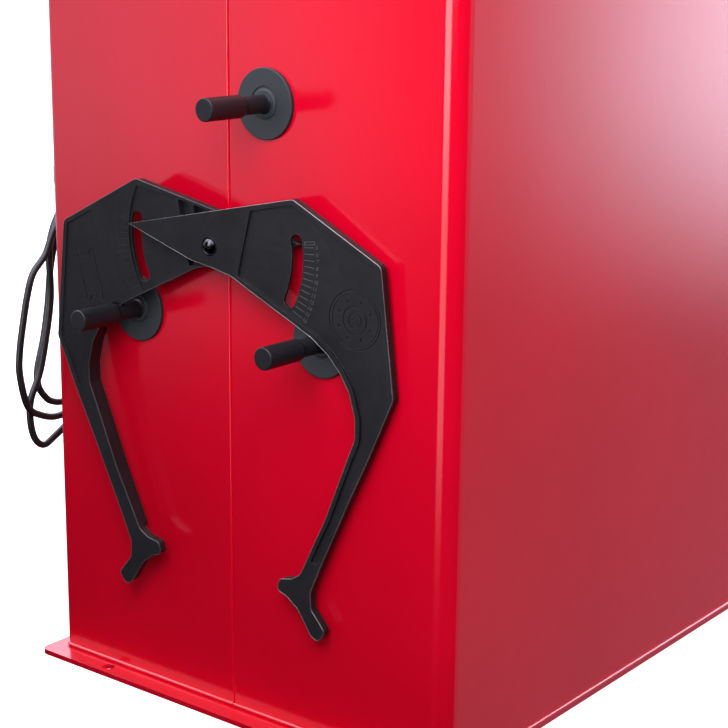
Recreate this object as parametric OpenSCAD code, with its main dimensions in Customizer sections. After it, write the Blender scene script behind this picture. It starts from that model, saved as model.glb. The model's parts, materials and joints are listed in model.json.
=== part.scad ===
// Wheel balancer: floor-standing sheet-metal cabinet, belt-driven balancing spindle on
// the right, weight tray and console on top, hinged wheel guard, and a rim-width caliper
// hung on pegs on the left side.
// Frame: X runs right along the spindle, Y runs towards the back, Z is up.
// The origin is on the floor, below the middle of the cabinet.

/* [Cabinet] */
// Width of the cabinet
cab_w = 560; // [540:5:580]
// Depth of the cabinet
cab_d = 465; // [460:1:470]
// Height of the cabinet's sheet shells
cab_h = 760; // [755:1:770]
// Thickness of the shell sheet
sheet_t = 1.5; // [1.2:0.1:2]
// Outside radius of the shells' vertical bends at the front
front_bend_r = 17; // [12:1:20]
// Outside radius of the shells' vertical bends at the back
rear_bend_r = 8; // [5:1:12]
// Where the two shells meet, measured back from the front face
seam_y = 238.7; // [230:0.1:245]
// Width of the joint between the two shells
seam_gap = 1.2; // [0.8:0.1:2]

/* [Base] */
// Thickness of the floor plate
base_t = 5; // [4:0.5:6]
// How far the floor plate stands out at each side
base_side = 22; // [20:1:26]
// How far the floor plate stands out at the back
base_back = 13; // [10:1:16]
// Gap between the floor plate and the shells
shadow_gap = 3.5; // [2:0.5:4]
// Radius of the anchor holes
anchor_r = 6; // [5:0.5:6.5]
// Distance between the anchor holes, front to back
anchor_pitch = 320; // [300:5:340]

/* [Pegs] */
// Radius of each peg's foot disc
peg_disc_r = 30; // [28:0.5:31]
// Radius of the pegs
peg_r = 9.6; // [9:0.1:9.6]
// Length of a peg from the side panel
peg_len = 76.6; // [74:0.1:80]
// Height of the two lower pegs
peg_low_z = 365.4; // [363:0.1:366]
// Height of the upper peg
peg_top_z = 560; // [550:1:580]

/* [Caliper] */
// Thickness of each caliper arm
arm_t = 8.5; // [8:0.1:8.5]
// Height of the caliper's pivot screw
pivot_z = 439.3; // [439:0.1:441]
// Length of an arm below the pivot
arm_drop = 333; // [325:1:336]
// Length of the pointer beyond the pivot
pointer_len = 88.5; // [86:0.5:90]
// Mean radius of the scale slot
slot_r = 89.5; // [88:0.5:90.5]
// Width of the scale slot
slot_w = 11.5; // [10:0.5:12]

/* [Spindle] */
// Height of the spindle
spindle_z = 690; // [685:1:692]
// Radius of the clamping shaft
shaft_r = 18; // [18:0.5:18]
// Radius of the wheel flange
flange_r = 92; // [85:1:100]
// Radius of the big pulley
pulley_r = 60; // [55:1:62]
// Radius of the motor pulley
motor_pulley_r = 15; // [14:0.5:16]
// Distance from the spindle down to the motor
belt_centres = 230; // [225:1:235]

/* [Wheel guard] */
// Inside radius of the guard hood
hood_r = 420; // [410:1:425]
// Width of the guard hood
hood_w = 410; // [380:5:420]
// Radius of the guard's tube
tube_r = 17; // [15:0.5:17]

/* [Hidden] */

left_x = -cab_w / 2;
right_x = cab_w / 2;
front_y = -cab_d / 2;
back_y = cab_d / 2;
shell_z = base_t + shadow_gap;
frame_h = 30;
run_gap = 0.05;
skin_gap = 0.3;

red = [0.72, 0.03, 0.07];
black = [0.12, 0.12, 0.13];
steel = [0.7, 0.71, 0.73];
zinc = [0.78, 0.77, 0.72];
brass = [0.78, 0.62, 0.3];

$fn = 64;

// A flat rectangle with round corners, centred on the origin.
module round_rect(w, d, r) {
    square([w - 2 * r, d], center = true);
    square([w, d - 2 * r], center = true);
    for (x = [-1, 1], y = [-1, 1])
        translate([x * (w / 2 - r), y * (d / 2 - r)]) circle(r);
}

// A cylinder along +X, starting at x.
module rod_x(x, len, r) {
    translate([x, 0, 0]) rotate([0, 90, 0]) cylinder(r = r, h = len);
}

// A ring along +X, starting at x.
module ring_x(x, len, r_out, r_in) {
    difference() {
        rod_x(x, len, r_out);
        rod_x(x - 1, len + 2, r_in);
    }
}

module at_spindle() {
    translate([0, 0, spindle_z]) children();
}

/* ---- base ---- */

base_w = cab_w + 2 * base_side;
base_d = cab_d + base_back;
base_mid_y = base_back / 2;
anchor_x = right_x + base_side / 2;

module base_plate() {
    color(red) difference() {
        translate([0, base_mid_y, 0])
            linear_extrude(base_t) round_rect(base_w, base_d, 8);
        for (x = [-1, 1], y = [-1, 1])
            translate([x * anchor_x, y * anchor_pitch / 2, -1])
                cylinder(r = anchor_r, h = base_t + 2);
    }
}

// Outline of the cabinet at a distance "inset" inside the shells' outer face.
module cabinet_outline(inset) {
    fr = front_bend_r - inset;
    rr = max(rear_bend_r - inset, 0.5);
    w = cab_w / 2 - inset;
    d = cab_d / 2 - inset;
    translate([-w + fr, -d]) square([2 * (w - fr), 2 * d]);
    translate([-w, -d + fr]) square([2 * w, 2 * d - fr - rr]);
    translate([-w + rr, 0]) square([2 * (w - rr), d]);
    for (x = [-1, 1]) {
        translate([x * (w - fr), -d + fr]) circle(fr);
        translate([x * (w - rr), d - rr]) circle(rr);
    }
}

// A closed wall that follows the cabinet, between two distances inside its face.
module cabinet_wall(outer_inset, inner_inset, h) {
    linear_extrude(h) difference() {
        cabinet_outline(outer_inset);
        cabinet_outline(inner_inset);
    }
}

module base_frame() {
    inset = sheet_t + skin_gap;
    color(red) translate([0, 0, base_t + 0.01])
        cabinet_wall(inset, inset + 3, frame_h);
}

/* ---- shells ---- */

seam_front = front_y + seam_y - seam_gap / 2;
seam_back = front_y + seam_y + seam_gap / 2;
gauge_y = -120;
gauge_z = spindle_z + 10;
housing_r = 42;
switch_pos = [-180, back_y, 560];
switch_w = 30;
switch_h = 22;
gland_pos = [-200, back_y, 120];
gland_r = 8;

module shell_openings() {
    at_spindle() rod_x(right_x - 20, 40, housing_r + 6);
    translate([0, gauge_y, gauge_z]) rod_x(right_x - 20, 40, 14.2);
    translate(switch_pos)
        cube([switch_w - 4, 40, switch_h - 4], center = true);
    translate(gland_pos) rotate([90, 0, 0])
        cylinder(r = gland_r + skin_gap, h = 60, center = true);
    for (p = peg_places())
        translate([left_x - 10, p[0], p[1]]) rod_x(0, 20, peg_screw_r + 0.2);
}

module shell(y_from, y_to) {
    color(red) difference() {
        translate([0, 0, shell_z])
            cabinet_wall(0, sheet_t, cab_h - shell_z);
        translate([-cab_w, y_from - cab_d, 0]) cube([2 * cab_w, cab_d, 2 * cab_h]);
        translate([-cab_w, y_to, 0]) cube([2 * cab_w, cab_d, 2 * cab_h]);
        shell_openings();
    }
}

module front_shell() {
    shell(front_y - 1, seam_front);
}

module rear_shell() {
    shell(seam_back, back_y + 1);
}

module seam_strips() {
    inset = sheet_t + skin_gap;
    strip_z = base_t + frame_h + 3;
    strip_t = 3;
    strip_w = 36;
    color(red) difference() {
        for (x = [-1, 1])
            translate([x * (right_x - inset - strip_t / 2) - strip_t / 2,
                       seam_front - strip_w / 2, strip_z])
                cube([strip_t, strip_w, cab_h - strip_z - 8]);
        at_spindle() rod_x(0, cab_w, housing_r + 6);
    }
}

module top_deck() {
    color(red) translate([0, 0, cab_h + 0.01])
        linear_extrude(2) cabinet_outline(0);
}

module shell_screws() {
    color(steel) for (x = [-210, 0, 210], z = [60, 630])
        translate([x, back_y + 0.02, z]) rotate([-90, 0, 0]) {
            cylinder(r = 5, h = 1.2);
            translate([0, 0, 1.2]) cylinder(r1 = 5, r2 = 3.4, h = 1.4);
        }
}

/* ---- pegs ---- */

peg_screw_r = 3;
peg_seat_t = 4;
peg_neck_r = 0.8 * peg_r;
peg_neck_end = 30.5;
peg_taper = 5;
peg_top_y = front_y + 195.4;
peg_rear_y = front_y + 349.6;
peg_front_y = front_y + 134;

function peg_places() = [
    [peg_top_y, peg_top_z], [peg_rear_y, peg_low_z], [peg_front_y, peg_low_z]
];

// One moulded peg standing out along -X, with a threaded stud into the panel.
module peg(y, z) {
    chamfer = 1.2;
    straight = peg_len - peg_neck_end - peg_taper - chamfer;
    color(black) translate([left_x - 0.02, y, z]) rotate([0, -90, 0]) {
        difference() {
            cylinder(r = peg_disc_r, h = peg_seat_t);
            translate([0, 0, peg_seat_t - 0.8]) difference() {
                cylinder(r = 0.49 * peg_disc_r, h = 2);
                translate([0, 0, -1]) cylinder(r = 0.42 * peg_disc_r, h = 4);
            }
        }
        cylinder(r = peg_neck_r, h = peg_neck_end);
        translate([0, 0, peg_neck_end]) cylinder(r1 = peg_neck_r, r2 = peg_r, h = peg_taper);
        translate([0, 0, peg_neck_end + peg_taper]) cylinder(r = peg_r, h = straight);
        translate([0, 0, peg_len - chamfer])
            cylinder(r1 = peg_r, r2 = peg_r - chamfer, h = chamfer);
        translate([0, 0, -14]) cylinder(r = peg_screw_r, h = 15);
    }
}

module peg_top() {
    peg(peg_top_y, peg_top_z);
}

module peg_rear() {
    peg(peg_rear_y, peg_low_z);
}

module peg_front() {
    peg(peg_front_y, peg_low_z);
}

/* ---- caliper ---- */

// The caliper hangs on the lower pegs, leaning slightly against the panel.
caliper_yaw = 4.97;
caliper_lean = 1.15;
caliper_roll = 0.56;
pivot_x = left_x - 30.2;
pivot_y = front_y + 234.9;
arm_gap = 0.1;
pivot_r = 4;
hub_r = 19.6;
saddle_r = peg_r + 0.7;
front_saddle = [102.5, -73];
rear_saddle = [113.2, -75.3];

// Local axes of the caliper: +X into the panel, +Y to the back, +Z up, pivot at the origin.
module caliper_frame() {
    translate([pivot_x, pivot_y, pivot_z])
        rotate([0, 0, caliper_yaw])
            rotate([0, -caliper_lean, 0])
                rotate([caliper_roll, 0, 0])
                    children();
}

// Points on an arc of a circle, used to round an outline.
function arc(c, r, a0, a1, n = 6) =
    [for (i = [0:n]) c + r * [cos(a0 + (a1 - a0) * i / n), sin(a0 + (a1 - a0) * i / n)]];

// Outline of one arm: pointer to the left, shoulder and leg to the right.
shoulder = [87, 47.6];
corner = [172, 3];
knee = [185, -106];
ankle_out = [105, -290];
ankle_in = [92.5, -277.5];
toe_out = [112, -arm_drop];
toe_in = [70, -292];
throat = [148.5, -131];
inner_shoulder = [87, -55];

module arm_outline() {
    difference() {
        polygon(concat(
            [[-pointer_len, 10.2]],
            arc(shoulder - [1.2, 4], 4, 95, 55),
            arc(corner - [5.4, 5.6], 6, 50, -4),
            arc(knee - [6, 0], 6, 8, -24),
            [ankle_out],
            [ankle_out + [-0.5, -8]],
            arc(toe_out + [-0.5, 5.5], 5.5, 35, -120),
            [[91, -310.5], [80, -301.5]],
            arc(toe_in + [4.6, 0.6], 4.6, 235, 100),
            [[83, -284]],
            [ankle_in],
            arc(throat - [53, 4], 53, -22, 58, 10),
            [inner_shoulder],
            [[24, -22.5]],
            [[3, -hub_r + 2]],
            [[-20, -14.3]]
        ));
        scale_slot();
    }
}

// Curved slot beside the scale, centred on the pivot.
module scale_slot() {
    a0 = 8.9;
    a1 = -24.6;
    steps = 12;
    for (a = [a0, a1])
        translate(slot_r * [cos(a), sin(a)]) circle(slot_w / 2);
    polygon(concat(
        arc([0, 0], slot_r + slot_w / 2, a0, a1, steps),
        arc([0, 0], slot_r - slot_w / 2, a1, a0, steps)
    ));
}

// One arm moulding: its front is at x = 0 and its back at x = arm_t, and its leg is at -Y.
module arm_moulding(saddle) {
    floor_in = 3;
    back_in = 2.5;
    difference() {
        union() {
            rotate([90, 0, -90]) translate([0, 0, -arm_t]) linear_extrude(arm_t)
                difference() {
                    arm_outline();
                    translate(saddle) circle(saddle_r);
                }
            rod_x(0, arm_t, hub_r);
        }
        rotate([90, 0, -90]) translate([0, 0, -floor_in])
            linear_extrude(floor_in + 1) front_recess();
        rotate([90, 0, -90]) translate([0, 0, -arm_t - 1])
            linear_extrude(back_in + 1) back_recess();
        rod_x(-1, arm_t + 2, pivot_r + run_gap);
    }
}

// The sunk floor on the front of the shoulder, inside the raised rim.
module front_recess() {
    polygon([[44, 34.8], [84, 43.2], [167, 0], [179, -104], [158, -148], [152, -140],
             [152, -122], [146, -102], [137, -86], [120, -70], [98, -57.5], [30, -22.5]]);
}

// The sunk floor on the back, between the hub and the scale arc.
module back_recess() {
    polygon(concat(arc([0, 0], 96.5, 26.5, -33, 12), [[30, -22], [38, 33]]));
}

module caliper_front_arm() {
    color(black) caliper_frame() arm_moulding(front_saddle);
}

module caliper_rear_arm() {
    color(black) caliper_frame()
        translate([2 * arm_t + arm_gap, 0, 0]) rotate([0, 0, 180])
            arm_moulding(rear_saddle);
}

module caliper_pivot() {
    stack = 2 * arm_t + arm_gap;
    color(steel) caliper_frame() {
        rod_x(-0.05, stack + 4.5, pivot_r);
        difference() {
            rotate([0, -90, 0]) translate([0, 0, 0.05]) intersection() {
                cylinder(r = 6.6, h = 3);
                translate([0, 0, -7]) sphere(9.8);
            }
            for (a = [0, 90]) rotate([a, 0, 0])
                translate([-4, 0, 0]) cube([4, 1.3, 7], center = true);
        }
        rotate([0, 90, 0]) translate([0, 0, stack + 0.05]) cylinder(r = 8, h = 1.2);
        rotate([0, 90, 0]) translate([0, 0, stack + 1.2]) cylinder(r = 7.5, h = 4, $fn = 6);
    }
}

/* ---- drive ---- */

shelf_z = 600;
motor_z = spindle_z - belt_centres;
housing_x = [40, 325];
bearing_w = 17;
bearing_r = 36;
inner_shaft_r = 17.5;
shaft_end = 560;
pulley_w = 30;
piezo_h = 25.9;

shelf_t = 4;

module machine_shelf() {
    rim = sheet_t + skin_gap + 3.2;
    color(zinc) difference() {
        translate([0, 0, shelf_z - shelf_t])
            linear_extrude(shelf_t) round_rect(cab_w - 2 * rim, cab_d - 2 * rim, 16);
        translate([0, 0, shelf_z]) cube([80, 230, 20], center = true);
        translate([-200, 0, shelf_z]) cube([60, 180, 20], center = true);
    }
}

module spindle_bracket() {
    foot = [190, 140, 8];
    cheek = [8, 116, 118];
    foot_z = shelf_z + piezo_h + 0.1;
    color(zinc) difference() {
        union() {
            translate([80, -foot[1] / 2, foot_z]) cube(foot);
            for (x = [90, 252])
                translate([x, -cheek[1] / 2, foot_z + foot[2] - 4]) cube(cheek);
        }
        at_spindle() rod_x(0, 400, housing_r + run_gap);
    }
}

module spindle_housing() {
    len = housing_x[1] - housing_x[0];
    color(steel) at_spindle() difference() {
        union() {
            rod_x(housing_x[0], len, housing_r);
            rod_x(right_x + 6, 5, housing_r + 5);
        }
        rod_x(housing_x[0] - 1, len + 2, bearing_r - 5);
        rod_x(housing_x[0] - 1, bearing_w + 1, bearing_r);
        rod_x(housing_x[1] - bearing_w, bearing_w + 1, bearing_r);
    }
}

module ball_bearing(x) {
    balls = 9;
    pitch_r = 26.6;
    ball_r = 3.9;
    ring_x(x, bearing_w, bearing_r - run_gap, pitch_r + ball_r + run_gap);
    ring_x(x, bearing_w, pitch_r - ball_r - run_gap, inner_shaft_r + run_gap);
    for (i = [0:balls - 1]) rotate([i * 360 / balls, 0, 0])
        translate([x + bearing_w / 2, 0, pitch_r]) sphere(ball_r);
}

module spindle_bearings() {
    color(steel) at_spindle() {
        ball_bearing(housing_x[0]);
        ball_bearing(housing_x[1] - bearing_w);
    }
}

module spindle_shaft() {
    chamfer = 2;
    step_x = 338;
    inner_x = -20;
    tip_len = 30;
    relief_w = 3;
    relief_depth = 1.5;
    color(steel) at_spindle() {
        rod_x(inner_x, step_x - inner_x, inner_shaft_r);
        rod_x(step_x, shaft_end - tip_len - relief_w - step_x, shaft_r);
        rod_x(step_x, shaft_end - tip_len - step_x, shaft_r - relief_depth);
        rod_x(shaft_end - tip_len, tip_len - chamfer, shaft_r);
        translate([shaft_end - chamfer, 0, 0]) rotate([0, 90, 0])
            cylinder(r1 = shaft_r, r2 = shaft_r - chamfer, h = chamfer);
    }
}

module wheel_flange() {
    color(steel) at_spindle() difference() {
        union() {
            rod_x(338.2, 28, 32);
            rod_x(352, 10, flange_r);
            translate([362, 0, 0]) rotate([0, 90, 0])
                cylinder(r1 = flange_r, r2 = flange_r - 3, h = 2);
        }
        rod_x(300, 100, shaft_r + run_gap);
        for (a = [0:120:240]) rotate([a, 0, 0]) translate([0, 0, 62])
            rod_x(340, 40, 5.5);
    }
}

module spindle_pulley() {
    boss_r = 28;
    rim_inner_r = pulley_r - 6;
    web_t = 14;
    face_cut = (pulley_w - web_t) / 2;
    hole_r = 8;
    color(zinc) at_spindle() difference() {
        rod_x(-pulley_w / 2, pulley_w, pulley_r);
        rod_x(-pulley_w, 2 * pulley_w, inner_shaft_r + run_gap);
        for (a = [0:60:300]) rotate([a, 0, 0])
            translate([0, 0, (boss_r + rim_inner_r) / 2])
                rod_x(-pulley_w, 2 * pulley_w, hole_r);
        ring_x(-pulley_w / 2 - 1, face_cut + 1, rim_inner_r, boss_r);
        ring_x(pulley_w / 2 - face_cut, face_cut + 1, rim_inner_r, boss_r);
    }
}

module encoder_disc() {
    slots = 24;
    color(black) at_spindle() difference() {
        rod_x(22, 2, 50);
        rod_x(20, 8, inner_shaft_r + run_gap);
        for (i = [0:slots - 1]) rotate([i * 360 / slots, 0, 0])
            translate([23, 0, 44]) cube([6, 4, 6], center = true);
    }
}

module encoder_sensor() {
    color(black) at_spindle() difference() {
        translate([16, -9, 41]) cube([23, 18, 27]);
        translate([20.5, -10, 38]) cube([5, 20, 14]);
    }
}

module piezo_sensors() {
    base_h = 10;
    color(brass) for (x = [110, 240])
        translate([x, 0, shelf_z + 0.02]) {
            cylinder(r = 14, h = base_h);
            translate([0, 0, base_h]) cylinder(r = 18, h = piezo_h - base_h);
        }
}

module at_motor() {
    translate([0, 0, motor_z]) children();
}

motor_r = 74;
motor_shaft_r = 9.5;

module drive_motor() {
    fins = 14;
    color([0.3, 0.32, 0.35]) at_motor() difference() {
        union() {
            rod_x(32, 10, motor_r + 6);
            rod_x(42, 190, motor_r);
            rod_x(232, 8, motor_r - 6);
            for (i = [0:fins - 1]) rotate([i * 360 / fins, 0, 0])
                translate([60, -1.5, motor_r - 2]) cube([150, 3, 10]);
        }
        rod_x(20, 34, motor_shaft_r + run_gap);
        for (a = [45:90:315]) rotate([a, 0, 0]) translate([0, 0, 66])
            rod_x(30, 8, 4);
    }
}

module motor_bracket() {
    plate_t = 7.9;
    w = 184;
    below = 70;
    top_z = shelf_z - shelf_t - 0.1;
    color(zinc) difference() {
        union() {
            translate([24, -w / 2, motor_z - below]) cube([plate_t, w, top_z - motor_z + below]);
            translate([24, -w / 2, top_z - 5.9]) cube([60, w, 5.9]);
        }
        at_motor() rod_x(20, 20, motor_shaft_r + 12);
        at_motor() for (a = [45:90:315]) rotate([a, 0, 0]) translate([0, 0, 66])
            rod_x(20, 20, 4.5);
    }
}

module motor_shaft() {
    color(steel) at_motor() rod_x(-18, 60, motor_shaft_r);
}

module motor_pulley() {
    color(zinc) at_motor() difference() {
        rod_x(-pulley_w / 2, pulley_w, motor_pulley_r);
        rod_x(-pulley_w, 2 * pulley_w, motor_shaft_r + run_gap);
    }
}

module belt_loop(extra) {
    hull() {
        translate([0, spindle_z]) circle(pulley_r + extra, $fn = 96);
        translate([0, motor_z]) circle(motor_pulley_r + extra, $fn = 96);
    }
}

module drive_belt() {
    belt_w = 24;
    color(black) rotate([90, 0, 90]) translate([0, 0, -belt_w / 2])
        linear_extrude(belt_w) difference() {
            belt_loop(4);
            belt_loop(0.2);
        }
}

/* ---- clamping parts on the spindle ---- */

cone_x = 366.6;
cup_x = 440;

module centring_cone() {
    color(steel) at_spindle() difference() {
        union() {
            rod_x(cone_x, 6, 52);
            translate([cone_x + 6, 0, 0]) rotate([0, 90, 0])
                cylinder(r1 = 52, r2 = 30, h = 32);
        }
        rod_x(cone_x - 1, 60, shaft_r + run_gap);
        translate([cone_x - 1, 0, 0]) rotate([0, 90, 0]) difference() {
            cylinder(r = 42, h = 13);
            translate([0, 0, -1]) cylinder(r = 26, h = 16);
        }
    }
}

module pressure_cup() {
    color(black) at_spindle() difference() {
        union() {
            rod_x(cup_x, 22, 64);
            translate([cup_x + 22, 0, 0]) rotate([0, 90, 0])
                cylinder(r1 = 64, r2 = 34, h = 16);
        }
        rod_x(cup_x - 1, 60, shaft_r + 0.6);
        rod_x(cup_x - 1, 19, 56);
    }
}

module cup_ring() {
    color([0.2, 0.2, 0.2]) at_spindle() ring_x(cup_x - 5.9, 5.9, 64, 56);
}

nut_x = cup_x + 38.2;

module quick_nut() {
    color(steel) at_spindle() difference() {
        union() {
            rod_x(nut_x, 44, 29);
            rod_x(nut_x + 44, 5, 25);
            rotate([35, 0, 0]) translate([nut_x + 22, 0, 0])
                cube([24, 86, 22], center = true);
        }
        rod_x(nut_x - 1, 60, shaft_r + 0.5);
    }
}

module nut_levers() {
    color(black) at_spindle() rotate([35, 0, 0]) for (s = [-1, 1])
        translate([nut_x + 22, s * 43.1, 0]) rotate([-s * 90, 0, 0]) {
            cylinder(r = 9, h = 30);
            translate([0, 0, 30]) sphere(15);
        }
}

/* ---- distance gauge ---- */

gauge_r = 8;
gauge_end = 322;

module at_gauge() {
    translate([0, gauge_y, gauge_z]) children();
}

module gauge_rod() {
    color(steel) at_gauge() rod_x(-200, gauge_end + 200, gauge_r);
}

module gauge_bushes() {
    color(black) at_gauge() {
        ring_x(right_x - 10, 22, 14, gauge_r + run_gap);
        ring_x(right_x + 0.02, 5, 20, 13);
        ring_x(0, 20, 14, gauge_r + run_gap);
    }
}

module gauge_bracket() {
    color(zinc) difference() {
        union() {
            translate([4, gauge_y - 22, shelf_z + 0.02])
                cube([8, 44, gauge_z - shelf_z + 22]);
            translate([4, gauge_y - 22, shelf_z + 0.02]) cube([50, 44, 6]);
        }
        at_gauge() rod_x(-10, 40, 14 + run_gap);
    }
}

module gauge_pointer() {
    hub_x = 302;
    hub_w = 18;
    reach = 150;
    color(black) at_gauge() difference() {
        union() {
            rod_x(hub_x, hub_w, 16);
            translate([hub_x + 4, -8, 0]) cube([10, 16, reach]);
            translate([hub_x + 4, 0, reach]) rotate([0, 90, 0]) cylinder(r = 8, h = 10);
            translate([hub_x + 14, 0, reach]) rotate([0, 90, 0])
                cylinder(r1 = 7, r2 = 3, h = 14);
        }
        rod_x(hub_x - 1, hub_w + 2, gauge_r + run_gap);
    }
}

module gauge_knob() {
    color(black) at_gauge() translate([305.9, 0, 120]) rotate([0, -90, 0]) {
        cylinder(r = 5, h = 8);
        translate([0, 0, 8]) cylinder(r = 12, h = 6);
    }
}

/* ---- wheel guard ---- */

guard_y = 300;
guard_z = 700;
arm_x = 310;
hood_x = 335;
hood_t = 4;
hood_from = 12;
hood_to = 118;
cross_r = hood_r + hood_t + tube_r + 6;
cross_a = 112;
cross_y = -cross_r * cos(cross_a);
cross_z = spindle_z + cross_r * sin(cross_a);

module guard_bracket() {
    ear_w = 10;
    color(red) difference() {
        union() {
            translate([112, back_y + 0.05, guard_z - 50]) cube([158, 6, 100]);
            for (x = [122, 250]) {
                translate([x, back_y + 5, guard_z - 30]) cube([ear_w, guard_y - back_y - 5, 60]);
                translate([x, guard_y, guard_z]) rotate([0, 90, 0])
                    cylinder(r = 30, h = ear_w);
            }
        }
        translate([0, guard_y, guard_z]) rod_x(100, 200, tube_r + 5);
    }
}

module guard_bushes() {
    color(brass) translate([0, guard_y, guard_z]) for (x = [120, 248])
        ring_x(x, 14, tube_r + 5 - run_gap, tube_r + run_gap);
}

module guard_arm() {
    knuckle_r = tube_r + 1.5;
    start_x = 114;
    rise = norm([cross_y - guard_y, cross_z - guard_z]);
    lean = atan2(cross_z - guard_z, cross_y - guard_y);
    color(black) translate([arm_x, guard_y, guard_z]) rotate([lean, 0, 0]) {
        rod_x(start_x - arm_x, arm_x - start_x, tube_r);
        sphere(knuckle_r);
        rotate([-90, 0, 0]) cylinder(r = tube_r, h = rise);
        translate([0, rise, 0]) sphere(knuckle_r);
        translate([0, rise, 0]) rod_x(0, hood_w, tube_r);
    }
}

module guard_clamps() {
    clamp_w = 30;
    color(steel) for (x = [hood_x + 60, hood_x + hood_w - 90])
        translate([0, 0, spindle_z]) rotate([-cross_a, 0, 0]) translate([x, -cross_r, 0])
            difference() {
                union() {
                    rod_x(0, clamp_w, tube_r + 4);
                    translate([0, 0, -20]) cube([clamp_w, tube_r + 5.2, 40]);
                }
                rod_x(-1, clamp_w + 2, tube_r + run_gap);
                translate([-1, cross_r, 0]) rod_x(0, clamp_w + 2, hood_r + hood_t + 0.3);
            }
}

// Sector of a ring about the spindle, as a solid between two X positions.
module hood_sector(x, w, r_out, r_in) {
    sector = hood_to - hood_from;
    translate([x, 0, spindle_z]) rotate([0, 90, 0]) rotate([0, 0, -90 - hood_to])
        rotate_extrude(angle = sector, $fn = 128)
            translate([r_in, 0]) square([r_out - r_in, w]);
}

module guard_hood() {
    lip = 34;
    color(red) {
        hood_sector(hood_x, hood_w, hood_r + hood_t, hood_r);
        hood_sector(hood_x, hood_t, hood_r + 1, hood_r - lip);
        hood_sector(hood_x + hood_w - hood_t, hood_t, hood_r + 1, hood_r - lip);
    }
}

module guard_switch() {
    color(black) translate([165, back_y + 6.1, guard_z - 12]) {
        cube([44, 22, 24]);
        translate([10, 22, 10]) cube([24, 6, 4]);
    }
}

/* ---- power inlet ---- */

module switch_bezel() {
    color(black) translate(switch_pos) difference() {
        union() {
            translate([0, 1.1, 0]) cube([switch_w + 4, 2.1, switch_h + 4], center = true);
            translate([0, -9, 0])
                cube([switch_w - 4.6, 18.5, switch_h - 4.6], center = true);
        }
        cube([switch_w - 9, 24, switch_h - 9], center = true);
    }
}

module power_rocker() {
    rocker_tilt = 8;
    w = switch_w - 11.5;
    axle_in = 7;
    face_r = 12;
    color([0.7, 0.05, 0.05]) translate(switch_pos - [0, axle_in, 0])
        rotate([0, 0, rocker_tilt]) intersection() {
            translate([0, axle_in, 0]) cube([w, 10, switch_h - 10], center = true);
            translate([0, 0, -switch_h]) cylinder(r = face_r, h = 2 * switch_h);
        }
}

cable_r = 3.4;
hook_r = 4;
coil_x = left_x + 48;
coil_y = back_y + 20;
coil_top = 452;
coil_turns = 3;
coil_pitch = 7.5;
joint_r = cable_r + 0.3;
hook_bend_r = hook_r + joint_r + 0.1;
joint_gap = 0.4;
plug_grip = 5;
plug_base = [coil_x + 60, coil_y + (coil_turns - 1) * coil_pitch, 320];

module cable_gland() {
    color(black) translate(gland_pos) rotate([-90, 0, 0]) difference() {
        union() {
            translate([0, 0, 0.05]) cylinder(r = 13, h = 5, $fn = 6);
            translate([0, 0, 5]) cylinder(r = 10.5, h = 12);
            translate([0, 0, -14]) cylinder(r = gland_r, h = 15);
        }
        translate([0, 0, -20]) cylinder(r = cable_r + run_gap, h = 50);
    }
}

// Each turn of cable hangs over the hook in a plane of constant Y: a small bend over the
// hook, a large one below it, and straight runs that touch both.
function turn_y(i) = coil_y + i * coil_pitch;
function low_bend_r(i) = 46 - 4 * i;
function turn_drop(i) = 172 + 12 * i;
function turn_lean(i) = asin((low_bend_r(i) - hook_bend_r) / turn_drop(i));

// Where a bend ends: side is 1 for its right end and -1 for its left end.
function bend_end(i, bend_r, drop, side) = [
    coil_x + side * bend_r * cos(turn_lean(i)),
    turn_y(i),
    coil_top - drop + bend_r * sin(turn_lean(i))
];
function hook_end(i, side) = bend_end(i, hook_bend_r, 0, side);
function low_end(i, side) = bend_end(i, low_bend_r(i), turn_drop(i), side);

// Part of a ring, stopping just short of both ends so that the joint balls close it.
module cable_bend(i, bend_r, drop, start, sweep) {
    trim = joint_gap / bend_r * 180 / PI;
    translate([coil_x, turn_y(i), coil_top - drop]) rotate([90, 0, 0])
        rotate([0, 0, start + trim]) rotate_extrude(angle = sweep - 2 * trim)
            translate([bend_r, 0]) circle(cable_r);
}

module cable_run(from, to) {
    v = to - from;
    length = norm(v);
    translate(from) rotate([0, acos(v[2] / length), atan2(v[1], v[0])])
        translate([0, 0, joint_gap]) cylinder(r = cable_r, h = length - 2 * joint_gap);
}

module cable_joint(place) {
    translate(place) sphere(joint_r);
}

module power_cable() {
    $fn = 32;
    gland_in = gland_pos - [0, 10, 0];
    gland_out = gland_pos + [0, 23.5, 0];
    knee = gland_pos + [-7, 9.5, 70];
    plug_lead = plug_base - [0, 0, 14];
    color(black) {
        cable_run(gland_in, gland_out);
        cable_run(gland_out, knee);
        cable_run(knee, hook_end(0, 1));
        for (i = [0:coil_turns - 1]) {
            last = i == coil_turns - 1;
            lean = turn_lean(i);
            cable_bend(i, hook_bend_r, 0, lean, 180 - 2 * lean);
            cable_run(low_end(i, -1), hook_end(i, -1));
            cable_bend(i, low_bend_r(i), turn_drop(i), 180 - lean, 180 + 2 * lean);
            cable_run(low_end(i, 1), last ? plug_lead : hook_end(i + 1, 1));
            for (side = [-1, 1]) {
                cable_joint(hook_end(i, side));
                cable_joint(low_end(i, side));
            }
        }
        cable_run(plug_lead, plug_base + [0, 0, plug_grip]);
        for (place = [gland_out, knee, plug_lead]) cable_joint(place);
    }
}

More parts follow.
